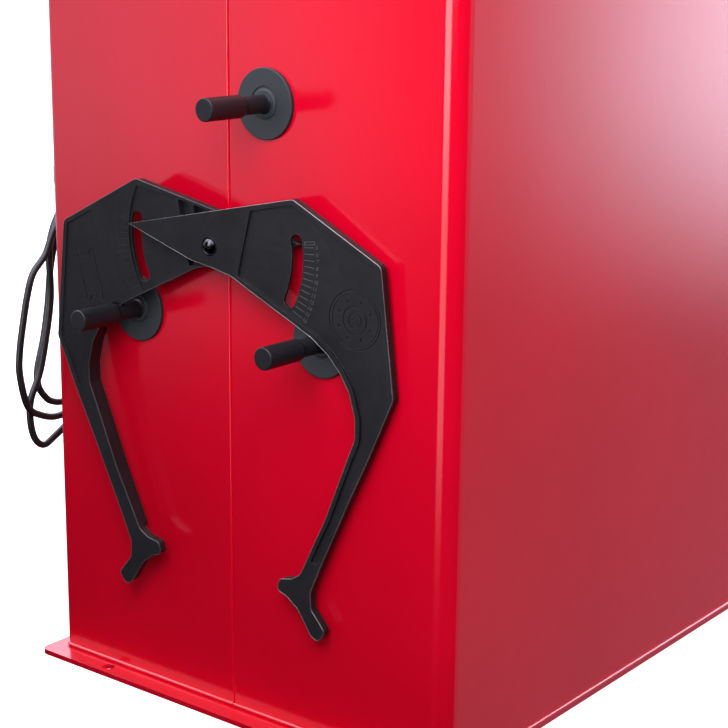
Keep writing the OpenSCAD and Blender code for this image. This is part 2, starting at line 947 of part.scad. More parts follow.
module power_plug() {
    sleeve_h = 14;
    body_h = 26;
    pin_pitch = 19;
    color(black) translate(plug_base) difference() {
        union() {
            cylinder(r1 = 7, r2 = 9, h = sleeve_h);
            translate([0, 0, sleeve_h]) cylinder(r = 17, h = body_h);
            for (s = [-1, 1]) translate([s * pin_pitch / 2, 0, sleeve_h + body_h])
                cylinder(r = 2.4, h = 19);
        }
        translate([0, 0, -1]) cylinder(r = cable_r + run_gap, h = plug_grip + 1);
    }
}

module cable_hook() {
    out = 44;
    lip = 22;
    color(black) translate([coil_x, back_y + 0.05, coil_top]) {
        rotate([-90, 0, 0]) cylinder(r = 14, h = 3);
        rotate([-90, 0, 0]) cylinder(r = hook_r, h = out);
        translate([0, out, 0]) sphere(hook_r);
        translate([0, out, 0]) cylinder(r = hook_r, h = lip);
        translate([0, out, lip]) sphere(hook_r);
    }
}

/* ---- top ---- */

tray_z = cab_h + 2.02;
tray_h = 52;
tray_over = 6;

module weight_tray() {
    columns = 5;
    cell_w = 100;
    cell_d = 62;
    floor_t = 5;
    w = cab_w + 2 * tray_over;
    d = cab_d + 2 * tray_over;
    color(black) difference() {
        translate([0, 0, tray_z]) linear_extrude(tray_h) round_rect(w, d, 22);
        for (c = [0:columns - 1], r = [0:1])
            translate([(c - (columns - 1) / 2) * (cell_w + 8), front_y + 38 + r * (cell_d + 8),
                       tray_z + floor_t])
                linear_extrude(tray_h) round_rect(cell_w, cell_d, 10);
        translate([0, front_y + 208, tray_z + 22])
            linear_extrude(tray_h) round_rect(cab_w - 30, 96, 12);
        translate([0, back_y - 60, tray_z - 1])
            linear_extrude(tray_h - 3) round_rect(cab_w - 20, 100, 12);
    }
}

console_w = 460;
console_foot = [110, tray_z + tray_h + 0.02];
console_brow = [168, console_foot[1] + 150];
console_back_y = 218;
console_t = 3;
slope_run = console_brow[0] - console_foot[0];
console_lip = 18;
slope_rise = console_brow[1] - console_foot[1] - console_lip;
slope_lean = atan2(slope_run, slope_rise);

module console_profile(inset) {
    top_z = console_brow[1];
    low_z = console_foot[1];
    polygon([
        [console_foot[0] + inset, low_z + inset],
        [console_foot[0] + inset, low_z + console_lip - inset / 4],
        [console_brow[0] + inset / 2, top_z - inset],
        [console_back_y, top_z - inset],
        [console_back_y, low_z + inset]
    ]);
}

// Local axes on the console's sloping face: X to the right, Z up the slope, -Y outwards.
module on_slope() {
    mid = [(console_foot[0] + console_brow[0]) / 2,
           console_foot[1] + console_lip + slope_rise / 2];
    translate([0, mid[0], mid[1]]) rotate([-slope_lean, 0, 0]) children();
}

button_x = 178;
button_z = [28, -28];
button_r = 15;

module console_housing() {
    color(black) difference() {
        translate([-console_w / 2, 0, 0]) rotate([90, 0, 90])
            linear_extrude(console_w) console_profile(0);
        translate([-console_w / 2 + console_t, 0, 0]) rotate([90, 0, 90])
            linear_extrude(console_w - 2 * console_t) console_profile(console_t);
        on_slope() {
            for (z = button_z) translate([button_x, 0, z]) rotate([90, 0, 0])
                cylinder(r = button_r + 0.4, h = 30, center = true);
            translate([-50, 0, 22]) cube([330, 20, 62], center = true);
        }
    }
}

module console_back() {
    low_z = console_foot[1];
    color(black) translate([-console_w / 2, console_back_y + 0.05, low_z])
        cube([console_w, 3, console_brow[1] - low_z]);
}

module display_lens() {
    color([0.25, 0.03, 0.03]) on_slope() {
        translate([-50, -1.1, 22]) cube([340, 2, 72], center = true);
        translate([-50, 2, 22]) cube([329, 5, 61], center = true);
    }
}

module keypad() {
    keys = 6;
    color([0.2, 0.22, 0.25]) on_slope() {
        translate([-50, -0.6, -40]) cube([340, 1, 38], center = true);
        for (i = [0:keys - 1])
            translate([-50 + (i - (keys - 1) / 2) * 52, -1.6, -40])
                cube([34, 1.4, 20], center = true);
    }
}

module push_button(z) {
    on_slope() translate([button_x, 4, z]) rotate([90, 0, 0]) {
        cylinder(r = button_r, h = 10);
        translate([0, 0, -2]) cylinder(r = button_r + 3, h = 2);
    }
}

module start_button() {
    color([0.1, 0.55, 0.2]) push_button(button_z[0]);
}

module stop_button() {
    color([0.75, 0.08, 0.08]) push_button(button_z[1]);
}

module display_board() {
    color([0.05, 0.35, 0.15]) on_slope() {
        translate([-50, 15, 10]) cube([340, 1.6, 90], center = true);
        for (x = [-130, 30]) translate([x, 10.5, 22]) cube([90, 7.2, 36], center = true);
    }
}

module power_board() {
    color([0.05, 0.35, 0.15]) translate([-190, -60, shelf_z + 14]) {
        cube([150, 160, 1.6]);
        translate([14, 20, 1.5]) cube([46, 46, 32]);
        for (y = [90, 122]) translate([100, y, 1.5]) cylinder(r = 12, h = 34);
        translate([30, 96, 1.5]) cube([40, 44, 22]);
    }
}

module board_pillars() {
    color(brass) for (x = [-184, -46], y = [-54, 94])
        translate([x, y, shelf_z + 0.02]) cylinder(r = 4, h = 13.9);
}

base_plate();
base_frame();
front_shell();
rear_shell();
seam_strips();
top_deck();
shell_screws();
machine_shelf();
weight_tray();
console_housing();
console_back();
display_lens();
keypad();
start_button();
stop_button();
display_board();
power_board();
board_pillars();
spindle_bracket();
spindle_housing();
spindle_bearings();
spindle_shaft();
wheel_flange();
spindle_pulley();
encoder_disc();
encoder_sensor();
piezo_sensors();
drive_motor();
motor_bracket();
motor_shaft();
motor_pulley();
drive_belt();
centring_cone();
pressure_cup();
cup_ring();
quick_nut();
nut_levers();
gauge_rod();
gauge_bushes();
gauge_bracket();
gauge_pointer();
gauge_knob();
guard_bracket();
guard_bushes();
guard_arm();
guard_clamps();
guard_hood();
guard_switch();
switch_bezel();
power_rocker();
cable_gland();
power_cable();
power_plug();
cable_hook();
peg_top();
peg_rear();
peg_front();
caliper_front_arm();
caliper_rear_arm();
caliper_pivot();
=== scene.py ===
"""Looks of the wheel balancer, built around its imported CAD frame.

Shapes are put together in millimetres, in the CAD frame: +X right, +Y back, +Z up. piece() turns
them into metres, lets them ride on the body of the CAD node they stand for, and paints them.
"""

import json
from math import cos, pi, radians, sin, tan

import bmesh
import bpy
from mathutils import Matrix, Vector
from mathutils.geometry import tessellate_polygon


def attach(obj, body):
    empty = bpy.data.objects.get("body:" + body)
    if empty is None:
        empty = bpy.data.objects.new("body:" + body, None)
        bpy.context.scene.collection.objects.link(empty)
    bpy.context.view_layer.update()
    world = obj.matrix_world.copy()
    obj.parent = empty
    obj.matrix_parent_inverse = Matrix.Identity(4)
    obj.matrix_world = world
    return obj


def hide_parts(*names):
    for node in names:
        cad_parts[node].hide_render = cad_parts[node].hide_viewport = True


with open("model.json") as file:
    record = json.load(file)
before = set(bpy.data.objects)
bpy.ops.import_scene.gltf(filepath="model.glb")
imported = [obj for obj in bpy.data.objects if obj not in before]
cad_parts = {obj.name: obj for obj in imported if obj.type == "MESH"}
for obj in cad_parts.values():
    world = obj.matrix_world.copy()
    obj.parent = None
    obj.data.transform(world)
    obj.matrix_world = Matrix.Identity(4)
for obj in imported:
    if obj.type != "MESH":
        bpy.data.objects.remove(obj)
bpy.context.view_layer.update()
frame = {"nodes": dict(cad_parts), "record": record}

MM = 0.001
NODES = frame["nodes"]
RECORD = frame["record"]
BODY_OF = {n: body for body, ns in RECORD["behaviour"]["bodies"].items() for n in ns}
SLOT_OF = {part["node"]: part["material_slot"] for part in RECORD["subparts"]}


# ---- 2-D outlines

def arc(centre, radius, start, end, steps=8):
    """Points on a circle between two angles in degrees."""
    cx, cy = centre
    angles = [radians(start + (end - start) * i / steps) for i in range(steps + 1)]
    return [(cx + radius * cos(a), cy + radius * sin(a)) for a in angles]


def circle(centre, radius, steps=64):
    return arc(centre, radius, 0, 360, steps)[:-1]


def rounded(points, radius, closed=True, steps=4):
    """The path with its corners rounded; radius is one number, or one for each point."""
    radii = radius if isinstance(radius, (list, tuple)) else [radius] * len(points)
    path = []
    for i, (point, r) in enumerate(zip(points, radii)):
        if r <= 0 or (not closed and i in (0, len(points) - 1)):
            path.append(tuple(point))
            continue
        p = Vector(point)
        before = Vector(points[i - 1]) - p
        after = Vector(points[(i + 1) % len(points)]) - p
        half = before.angle(after) / 2
        reach = min(r / max(tan(half), 0.05), before.length * 0.48, after.length * 0.48)
        start, end = p + before.normalized() * reach, p + after.normalized() * reach
        for k in range(steps + 1):
            t = k / steps
            path.append(tuple(start * (1 - t) ** 2 + p * 2 * t * (1 - t) + end * t * t))
    return path


def rounded_points(points, steps=4):
    """Closed outline from (point, corner radius) pairs."""
    return rounded([point for point, _ in points], [radius for _, radius in points], steps=steps)


def box_outline(width, height, radius=0):
    corners = [(sx * width / 2, sy * height / 2) for sx, sy in ((-1, -1), (1, -1), (1, 1), (-1, 1))]
    return rounded(corners, radius) if radius else corners


# ---- meshes

def mesh_of(verts, faces):
    mesh = bpy.data.meshes.new("shape")
    mesh.from_pydata([tuple(v) for v in verts], [], faces)
    return mesh


def turned(profile, steps=72, closed=False):
    """Solid of revolution about Z through (radius, height) points."""
    verts, faces, rings = [], [], []
    for r, z in profile:
        count = 1 if r < 1e-6 else steps
        rings.append([len(verts) + (i % count) for i in range(steps)])
        verts += [(r * cos(2 * pi * i / steps), r * sin(2 * pi * i / steps), z) for i in range(count)]
    pairs = list(zip(rings, rings[1:])) + ([(rings[-1], rings[0])] if closed else [])
    for low, high in pairs:
        for i in range(steps):
            j = (i + 1) % steps
            loop = [low[i], low[j], high[j], high[i]]
            faces.append([v for k, v in enumerate(loop) if v not in loop[:k]])
    return mesh_of(verts, faces)


def lathe(profile, radii, steps=48):
    """Solid of revolution about Z with the corners of its profile rounded."""
    return turned(rounded(profile, radii, closed=False), steps)


def drill(radius, place, half=30):
    """Round cutting tool through a sheet."""
    return placed(turned([(0, -half), (radius, -half), (radius, half), (0, half)]), place)


def prism(outline, low, high, holes=()):
    """Outline with holes, as a solid between two heights."""
    loops = [list(outline)] + [list(h) for h in holes]
    flat = [point for loop in loops for point in loop]
    count = len(flat)
    verts = [(x, y, low) for x, y in flat] + [(x, y, high) for x, y in flat]
    triangles = tessellate_polygon([[Vector((x, y, 0)) for x, y in loop] for loop in loops])
    faces = [t[::-1] for t in triangles] + [tuple(i + count for i in t) for t in triangles]
    start = 0
    for loop in loops:
        for i in range(len(loop)):
            a, b = start + i, start + (i + 1) % len(loop)
            faces.append((a, b, b + count, a + count))
        start += len(loop)
    mesh = mesh_of(verts, faces)
    bm = bmesh.new()
    bm.from_mesh(mesh)
    bmesh.ops.recalc_face_normals(bm, faces=bm.faces)
    bmesh.ops.dissolve_limit(bm, angle_limit=radians(0.5), verts=bm.verts, edges=bm.edges)
    bm.to_mesh(mesh)
    bm.free()
    return mesh


def block(size, centre=(0, 0, 0), radius=0):
    """Box with its upright edges rounded."""
    mesh = prism(box_outline(size[0], size[1], radius), -size[2] / 2, size[2] / 2)
    return placed(mesh, at(*centre))


def smooth_path(points, steps=8):
    """A smooth curve through the points."""
    points = [Vector(p) for p in points]
    ends = [points[0]] + points + [points[-1]]
    path = []
    for p0, p1, p2, p3 in zip(ends, ends[1:], ends[2:], ends[3:]):
        for k in range(steps):
            t = k / steps
            path.append(0.5 * (2 * p1 + (p2 - p0) * t + (2 * p0 - 5 * p1 + 4 * p2 - p3) * t ** 2
                               + (3 * p1 - p0 - 3 * p2 + p3) * t ** 3))
    return path + [points[-1]]


def tube(points, radius, closed=False, sides=4):
    """Round bar along a path; sides sets how fine its round is."""
    curve = bpy.data.curves.new("path", "CURVE")
    curve.dimensions = "3D"
    curve.bevel_depth = radius
    curve.bevel_resolution = sides
    curve.use_fill_caps = True
    spline = curve.splines.new("POLY")
    spline.points.add(len(points) - 1)
    for target, p in zip(spline.points, points):
        target.co = (*p, 1)
    spline.use_cyclic_u = closed
    holder = bpy.data.objects.new("path", curve)
    mesh = bpy.data.meshes.new_from_object(holder)
    bpy.data.objects.remove(holder)
    return mesh


def strip(points, width, low, high):
    """Thin raised line along a flat path."""
    parts = []
    for a, b in zip(points, points[1:]):
        a, b = Vector(a), Vector(b)
        along = (b - a).normalized() * (width / 2)
        side = Vector((-along.y, along.x))
        corners = [a - along - side, b + along - side, b + along + side, a - along + side]
        parts.append(prism([tuple(c) for c in corners], low, high))
    return joined(*parts)


def groove(outline, width, low, high):
    """Line of even width along a closed outline."""
    count = len(outline)
    sides = []
    for i in range(count):
        p = Vector(outline[i])
        before = (p - Vector(outline[i - 1])).normalized()
        after = (Vector(outline[(i + 1) % count]) - p).normalized()
        across = Vector((before.y + after.y, -before.x - after.x)).normalized()
        reach = width / 2 / max(across.dot(Vector((before.y, -before.x))), 0.5)
        sides.append((tuple(p + across * reach), tuple(p - across * reach)))
    left, right = [list(side) for side in zip(*sides)]
    spread = [max(x for x, _ in side) - min(x for x, _ in side) for side in (left, right)]
    outer, inner = (left, right) if spread[0] > spread[1] else (right, left)
    return prism(outer, low, high, [inner])


def ring(centre, radius, width, low, high, steps=72):
    return prism(circle(centre, radius + width / 2, steps), low, high,
                 [circle(centre, radius - width / 2, steps)])


def numeral(text, size, height):
    """A plain number as a thin solid, centred on the origin."""
    curve = bpy.data.curves.new("number", "FONT")
    curve.body = text
    curve.size = size
    curve.extrude = height / 2
    curve.align_x, curve.align_y = "CENTER", "CENTER"
    holder = link(bpy.data.objects.new("number", curve))
    bpy.context.view_layer.update()
    mesh = bpy.data.meshes.new_from_object(holder)
    bpy.data.objects.remove(holder)
    return mesh


def at(x, y, z):
    return Matrix.Translation((x, y, z))


def turn(degrees, axis):
    return Matrix.Rotation(radians(degrees), 4, axis)


Z_TO_X = turn(90, "Y")
Z_TO_LEFT = turn(-90, "Y")
Z_TO_BACK = turn(-90, "X")


def placed(mesh, matrix):
    mesh.transform(matrix)
    return mesh


def copies(mesh, matrices):
    return joined(*[placed(mesh.copy(), m) for m in matrices])


def joined(*meshes):
    bm = bmesh.new()
    for mesh in meshes:
        bm.from_mesh(mesh)
    result = bpy.data.meshes.new("shape")
    bm.to_mesh(result)
    bm.free()
    return result


def tinted(mesh, index):
    """The mesh with all its faces in material slot number index."""
    for polygon in mesh.polygons:
        polygon.material_index = index
    return mesh


def cut(mesh, *tools):
    """The mesh with the tools cut out of it."""
    holders = []
    for shape in (mesh, *tools):
        holders.append(link(bpy.data.objects.new("cut", shape)))
    for tool in holders[1:]:
        modifier = holders[0].modifiers.new("cut", "BOOLEAN")
        modifier.operation = "DIFFERENCE"
        modifier.solver = "EXACT"
        modifier.object = tool
    depsgraph = bpy.context.evaluated_depsgraph_get()
    result = bpy.data.meshes.new_from_object(holders[0].evaluated_get(depsgraph))
    for holder in holders:
        bpy.data.objects.remove(holder)
    return result


# ---- pieces

def add_bevel(obj, width):
    bevel = obj.modifiers.new("edges", "BEVEL")
    bevel.width = width * MM
    bevel.segments = 2
    bevel.limit_method = "ANGLE"
    bevel.angle_limit = radians(30)
    bevel.harden_normals = True
    bevel.use_clamp_overlap = True
    return bevel


def evaluated(obj):
    """The object's mesh with its modifiers applied; the object goes away."""
    depsgraph = bpy.context.evaluated_depsgraph_get()
    mesh = bpy.data.meshes.new_from_object(obj.evaluated_get(depsgraph))
    bpy.data.objects.remove(obj)
    return mesh


def bevelled(mesh, width, edge_paint=None):
    """The mesh with its sharp edges rounded, the new faces in paint slot 1 when one is given."""
    holder = link(bpy.data.objects.new("bevelled", mesh))
    bevel = add_bevel(holder, width / MM)
    if edge_paint:
        for paint in (edge_paint, edge_paint):
            mesh.materials.append(paint)
        bevel.material = 1
    return evaluated(holder)


def link(obj):
    bpy.context.scene.collection.objects.link(obj)
    return obj


def piece(name, mesh, node, bevel=0, paints=(), sharp=32):
    """Adds a finished piece that stands for a CAD node and rides on its body."""
    bm = bmesh.new()
    bm.from_mesh(mesh)
    bmesh.ops.remove_doubles(bm, verts=bm.verts, dist=0.002)
    bmesh.ops.recalc_face_normals(bm, faces=bm.faces)
    for face in bm.faces:
        face.smooth = True
    bm.transform(Matrix.Scale(MM, 4))
    final = bpy.data.meshes.new(name)
    bm.to_mesh(final)
    bm.free()
    if not bevel:
        final.set_sharp_from_angle(angle=radians(sharp))
    obj = link(bpy.data.objects.new(name, final))
    for paint in paints or [PAINTS[SLOT_OF[node]]]:
        final.materials.append(paint)
    if bevel:
        add_bevel(obj, bevel)
    else:
        even = obj.modifiers.new("even_shading", "WEIGHTED_NORMAL")
        even.keep_sharp = True
    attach(obj, BODY_OF[node])
    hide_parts(node)


def soften(node, width):
    """Keeps a CAD node, with its material and small rounded edges."""
    obj = NODES[node]
    obj.data.materials.clear()
    obj.data.materials.append(PAINTS[SLOT_OF[node]])
    weld = obj.modifiers.new("weld", "WELD")
    weld.merge_threshold = 0.002 * MM
    flat = obj.modifiers.new("flat", "DECIMATE")
    flat.decimate_type = "DISSOLVE"
    flat.angle_limit = radians(1)
    add_bevel(obj, width)


# ---- materials

class Graph:
    """Short calls for putting a node tree together."""

    def __init__(self, tree):
        self.tree = tree

    def node(self, kind, inputs, **settings):
        node = self.tree.nodes.new(kind)
        for key, value in settings.items():
            setattr(node, key, value)
        for key, value in inputs.items():
            self.feed(node.inputs[key], value)
        return node

    def feed(self, socket, value):
        if isinstance(value, bpy.types.NodeSocket):
            self.tree.links.new(value, socket)
        elif value is not None:
            socket.default_value = value

    def math(self, operation, a, b=0.0):
        node = self.node("ShaderNodeMath", {}, operation=operation)
        self.feed(node.inputs[0], a)
        self.feed(node.inputs[1], b)
        return node.outputs[0]

    def ramp(self, value, low, high, out_low=0.0, out_high=1.0, smooth=False):
        """Maps a value between two levels, clamped."""
        node = self.node("ShaderNodeMapRange", {"Value": value, "From Min": low, "From Max": high,
                                                "To Min": out_low, "To Max": out_high},
                         interpolation_type="SMOOTHSTEP" if smooth else "LINEAR")
        return node.outputs[0]

    def mix(self, factor, a, b):
        node = self.node("ShaderNodeMix", {}, data_type="RGBA")
        self.feed(node.inputs[0], factor)
        self.feed(node.inputs[6], (*a, 1) if isinstance(a, tuple) else a)
        self.feed(node.inputs[7], (*b, 1) if isinstance(b, tuple) else b)
        return node.outputs[2]


class Paint(Graph):
    """One procedural material."""

    def __init__(self, name):
        self.material = bpy.data.materials.new(name)
        self.material.use_nodes = True
        super().__init__(self.material.node_tree)
        self.shader = self.tree.nodes["Principled BSDF"]
        self.place = self.node("ShaderNodeTexCoord", {}).outputs["Object"]
        self.normal = None

    def set(self, **values):
        """Feeds the main shader; Base_Color stands for its input "Base Color"."""
        for key, value in values.items():
            self.feed(self.shader.inputs[key.replace("_", " ")], value)

    def colour(self, factor, a, b, **values):
        """Base colour between two colours, with any other inputs of the main shader."""
        self.set(Base_Color=self.mix(factor, a, b), **values)

    def rough(self, scale, detail, low, high):
        """Roughness that wanders between two levels."""
        self.set(Roughness=self.ramp(self.noise(scale, detail), 0.3, 0.7, low, high))

    def stretched(self, scale):
        return self.node("ShaderNodeMapping", {"Vector": self.place, "Scale": scale}).outputs[0]

    def noise(self, scale, detail=3, roughness=0.5, place=None):
        node = self.node("ShaderNodeTexNoise", {"Vector": place or self.place, "Scale": scale,
                                                "Detail": detail, "Roughness": roughness})
        return node.outputs[0]

    def cells(self, scale, output="Distance", feature="F1"):
        node = self.node("ShaderNodeTexVoronoi", {"Vector": self.place, "Scale": scale},
                         feature=feature)
        return node.outputs[output]

    def bump(self, height, depth, strength=1.0):
        """Adds relief; depth is in millimetres."""
        node = self.node("ShaderNodeBump", {"Height": height, "Distance": depth * MM,
                                            "Strength": strength})
        if self.normal is not None:
            self.feed(node.inputs["Normal"], self.normal)
        self.normal = node.outputs[0]
        self.set(Normal=self.normal)

    def edges(self, radius):
        """1 on convex and concave edges, 0 on flat ground."""
        rounded_normal = self.node("ShaderNodeBevel", {"Radius": radius * MM}, samples=4).outputs[0]
        true_normal = self.node("ShaderNodeNewGeometry", {}).outputs["Normal"]
        dot = self.node("ShaderNodeVectorMath", {}, operation="DOT_PRODUCT")
        self.feed(dot.inputs[0], rounded_normal)
        self.feed(dot.inputs[1], true_normal)
        return self.ramp(dot.outputs["Value"], 0.99, 0.85)

    def radius_from_x_axis(self, height):
        """Distance from a line along X at a height in millimetres, for turned marks."""
        split = self.node("ShaderNodeSeparateXYZ", {"Vector": self.place})
        up = self.math("SUBTRACT", split.outputs[2], height * MM)
        square = self.math("ADD", self.math("MULTIPLY", split.outputs[1], split.outputs[1]),
                           self.math("MULTIPLY", up, up))
        return self.math("SQRT", square), split.outputs[0]


def powder_coat(name, deep, bright):
    """Glossy powder coat with orange peel, slight waviness and sparse dust."""
    p = Paint(name)
    drift = p.ramp(p.noise(5, 2), 0.35, 0.65)
    colour = p.mix(drift, deep, bright)
    dust = p.ramp(p.noise(1300, 1), 0.745, 0.77, 0, 0.3)
    p.colour(dust, colour, (0.9, 0.3, 0.34))
    p.rough(90, 3, 0.34, 0.42)
    p.set(Specular_IOR_Level=0.05, Coat_Weight=1.0, Coat_Roughness=0.13, Coat_IOR=1.5)
    p.bump(p.noise(7, 1), 0.5, 0.25)
    p.bump(p.noise(420, 2), 0.02, 0.6)
    p.feed(p.shader.inputs["Coat Normal"], p.normal)
    return p.material


def moulded(name, dark, light, roughness, grain=0.015, edge=(0.14, 0.14, 0.15), shine=0.38):
    """Satin moulded plastic with a fine grain and faint flow marks; its edges are painted lighter in the
    edge colour, a painted highlight that is patchy like wear.
    """
    p = Paint(name)
    flow = p.ramp(p.noise(14, 4), 0.35, 0.7)
    colour = p.mix(flow, dark, light)
    # Painted highlight: convex and concave edges mixed towards the lighter edge colour, in patches.
    wear_and_highlight = p.math("MULTIPLY", p.edges(0.5), p.ramp(p.noise(60, 3), 0.35, 0.65, 0.2, 0.5))
    p.colour(wear_and_highlight, colour, edge)
    p.rough(180, 3, roughness - 0.05, roughness + 0.06)
    p.set(Specular_IOR_Level=shine)
    p.bump(p.noise(1900, 2), grain, 0.6)
    p.bump(p.noise(30, 2), 0.12, 0.25)
    return p.material


def painted_metal(name, dark, light, roughness):
    """Semi-gloss stoved paint on steel with chips on its edges."""
    p = Paint(name)
    colour = p.mix(p.ramp(p.noise(9, 3), 0.3, 0.7), dark, light)
    chips = p.math("MULTIPLY", p.edges(0.6), p.ramp(p.noise(130, 4), 0.56, 0.64, 0, 0.8))
    p.colour(chips, colour, (0.45, 0.44, 0.42))
    p.set(Metallic=p.math("MULTIPLY", chips, 0.8))
    p.rough(220, 3, roughness - 0.05, roughness + 0.08)
    p.bump(p.noise(520, 2), 0.02, 0.5)
    return p.material


def zinc(name):
    """Zinc-plated steel: patchy bluish spangle with rolling marks."""
    p = Paint(name)
    patch = p.ramp(p.cells(70, "Color"), 0.1, 0.9)
    rolled = p.noise(60, 3, place=p.stretched((1, 14, 1)))
    tone = p.math("ADD", p.math("MULTIPLY", patch, 0.5), p.math("MULTIPLY", rolled, 0.5))
    p.colour(tone, (0.42, 0.43, 0.44), (0.72, 0.72, 0.69), Metallic=1.0)
    p.set(Roughness=p.ramp(rolled, 0.3, 0.7, 0.32, 0.5))
    p.bump(rolled, 0.02, 0.4)
    return p.material


def machined(name, axis_height, dark, light, low, high):
    """Turned or ground steel with fine tool rings about a line along X."""
    p = Paint(name)
    radius, along = p.radius_from_x_axis(axis_height)
    lines = p.node("ShaderNodeCombineXYZ", {"X": radius, "Y": along}).outputs[0]
    rings = p.noise(1500, 2, place=lines)
    stain = p.ramp(p.noise(35, 4), 0.4, 0.75)
    p.colour(stain, light, dark, Metallic=1.0)
    p.set(Roughness=p.math("ADD", p.ramp(rings, 0.3, 0.7, low, high), p.math("MULTIPLY", stain, 0.08)))
    p.bump(rings, 0.006, 0.5)
    return p.material


def black_chrome(name):
    """Dark plated screw head."""
    p = Paint(name)
    smudge = p.noise(240, 3)
    p.colour(smudge, (0.02, 0.02, 0.022), (0.05, 0.05, 0.054), Metallic=1.0)
    p.set(Roughness=p.ramp(smudge, 0.3, 0.7, 0.14, 0.28))
    p.bump(p.noise(900, 2), 0.004, 0.5)
    return p.material


def rubbery(name, dark, light, roughness, grain):
    """Black rubber or soft cable sheath with a dry bloom."""
    p = Paint(name)
    bloom = p.ramp(p.noise(45, 4), 0.4, 0.75)
    p.colour(bloom, dark, light)
    p.rough(300, 3, roughness - 0.06, roughness + 0.06)
    p.set(Specular_IOR_Level=0.25)
    p.bump(p.noise(1500, 3), grain, 0.7)
    return p.material


def motor_paint(name):
    """Grey hammered enamel on cast aluminium."""
    p = Paint(name)
    dents = p.cells(190, "Distance", "SMOOTH_F1")
    p.colour(p.ramp(dents, 0.1, 0.6), (0.20, 0.22, 0.25), (0.33, 0.35, 0.38))
    p.set(Metallic=0.35, Roughness=p.ramp(p.noise(120, 3), 0.3, 0.7, 0.35, 0.5))
    p.bump(dents, 0.12, 0.5)
    return p.material


def smoked(name):
    """Dark red see-through display filter."""
    p = Paint(name)
    haze = p.noise(30, 3)
    p.colour(haze, (0.30, 0.015, 0.015), (0.42, 0.03, 0.03))
    p.set(Transmission_Weight=0.85, IOR=1.2, Coat_Weight=1.0, Coat_Roughness=0.03)
    p.set(Roughness=p.ramp(p.noise(400, 3), 0.4, 0.7, 0.02, 0.07))
    p.bump(p.noise(16, 2), 0.05, 0.2)
    return p.material


def foil(name, dark, light):
    """Printed polyester keypad foil with a pebbled surface."""
    p = Paint(name)
    p.colour(p.ramp(p.noise(25, 3), 0.3, 0.7), dark, light)
    p.set(Roughness=p.ramp(p.noise(260, 2), 0.3, 0.7, 0.36, 0.48), Coat_Weight=0.15)
    p.bump(p.cells(1200, "Distance", "SMOOTH_F1"), 0.015, 0.6)
    return p.material


def glossy_key(name, dark, light):
    """Polished coloured button with fine scratches."""
    p = Paint(name)
    scratches = p.ramp(p.noise(260, 4, place=p.stretched((1, 1, 9))), 0.62, 0.7)
    p.colour(p.noise(60, 3), dark, light)
    p.set(Roughness=p.ramp(scratches, 0, 1, 0.18, 0.38), Coat_Weight=0.4, Coat_Roughness=0.08)
    p.bump(scratches, 0.004, 0.5)
    return p.material


def circuit(name):
    """Green solder mask over tracks, with tinned pads."""
    p = Paint(name)
    tracks = p.ramp(p.cells(190, "Distance", "DISTANCE_TO_EDGE"), 0.03, 0.06)
    pads = p.ramp(p.cells(160, "Distance"), 0.16, 0.12)
    board = p.mix(tracks, (0.02, 0.20, 0.07), (0.008, 0.09, 0.035))
    p.colour(pads, board, (0.62, 0.62, 0.58), Metallic=pads)
    p.set(Roughness=p.ramp(tracks, 0, 1, 0.32, 0.42))
    p.bump(tracks, 0.03, 0.5)
    return p.material


def brassy(name):
    p = Paint(name)
    dull = p.ramp(p.noise(90, 4), 0.4, 0.7)
    p.colour(dull, (0.80, 0.60, 0.26), (0.48, 0.33, 0.14), Metallic=1.0)
    p.set(Roughness=p.ramp(dull, 0, 1, 0.22, 0.42))
    p.bump(p.noise(700, 2), 0.006, 0.5)
    return p.material


def lit(name, colour, strength):
    """Glowing display segment with a slightly uneven light."""
    p = Paint(name)
    glow = p.ramp(p.noise(300, 2), 0.3, 0.7, strength * 0.8, strength)
    p.set(Base_Color=(*colour, 1), Emission_Color=(*colour, 1), Emission_Strength=glow)
    return p.material


def pale_floor(name):
    p = Paint(name)
    cloud = p.ramp(p.noise(1.3, 4), 0.3, 0.7)
    p.colour(cloud, (0.86, 0.86, 0.86), (0.90, 0.90, 0.90))
    p.set(Roughness=p.ramp(p.noise(30, 3), 0.3, 0.7, 0.55, 0.7), Specular_IOR_Level=0.2)
    p.set(Emission_Color=(1, 1, 1, 1), Emission_Strength=0.9)
    p.bump(p.noise(220, 3), 0.05, 0.3)
    return p.material


SPINDLE_Z = 690
GAUGE_Y, GAUGE_Z = -120, 700
PAINTS = {
    "red_paint": powder_coat("red_powder_coat", (0.70, 0.0005, 0.019), (0.77, 0.0008, 0.023)),
    "black_moulding": moulded("black_moulding", (0.016, 0.016, 0.018), (0.028, 0.028, 0.031), 0.44),
    # The caliper plastic's edge colour is the colour of its painted edge highlight.
    "peg_plastic": moulded("caliper_plastic", (0.010, 0.010, 0.0125), (0.015, 0.015, 0.018), 0.36,
                           edge=(0.10, 0.10, 0.11), shine=0.16),
    "black_metal": painted_metal("black_stoved_paint", (0.012, 0.012, 0.013), (0.024, 0.024, 0.026), 0.34),
    "zinc_plate": zinc("zinc_plate"),
    "ground_steel": machined("ground_steel", SPINDLE_Z, (0.36, 0.36, 0.37), (0.62, 0.62, 0.64), 0.16, 0.32),
    "motor_grey": motor_paint("motor_enamel"),
    "black_rubber": rubbery("black_rubber", (0.012, 0.012, 0.012), (0.030, 0.030, 0.031), 0.62, 0.02),
    "smoked_lens": smoked("smoked_lens"),
    "keypad_foil": foil("keypad_foil", (0.10, 0.11, 0.13), (0.15, 0.16, 0.18)),
    "green_key": glossy_key("green_key", (0.01, 0.25, 0.06), (0.02, 0.36, 0.10)),
    "red_key": glossy_key("red_key", (0.42, 0.006, 0.008), (0.60, 0.012, 0.014)),
    "circuit_board": circuit("circuit_board"),
    "brass_parts": brassy("brass"),
    "sensor_plastic": moulded("sensor_plastic", (0.02, 0.02, 0.022), (0.04, 0.04, 0.043), 0.5),
}
PEG_DISC = moulded("peg_disc_plastic", (0.013, 0.0145, 0.018), (0.019, 0.021, 0.026), 0.56, 0.04)
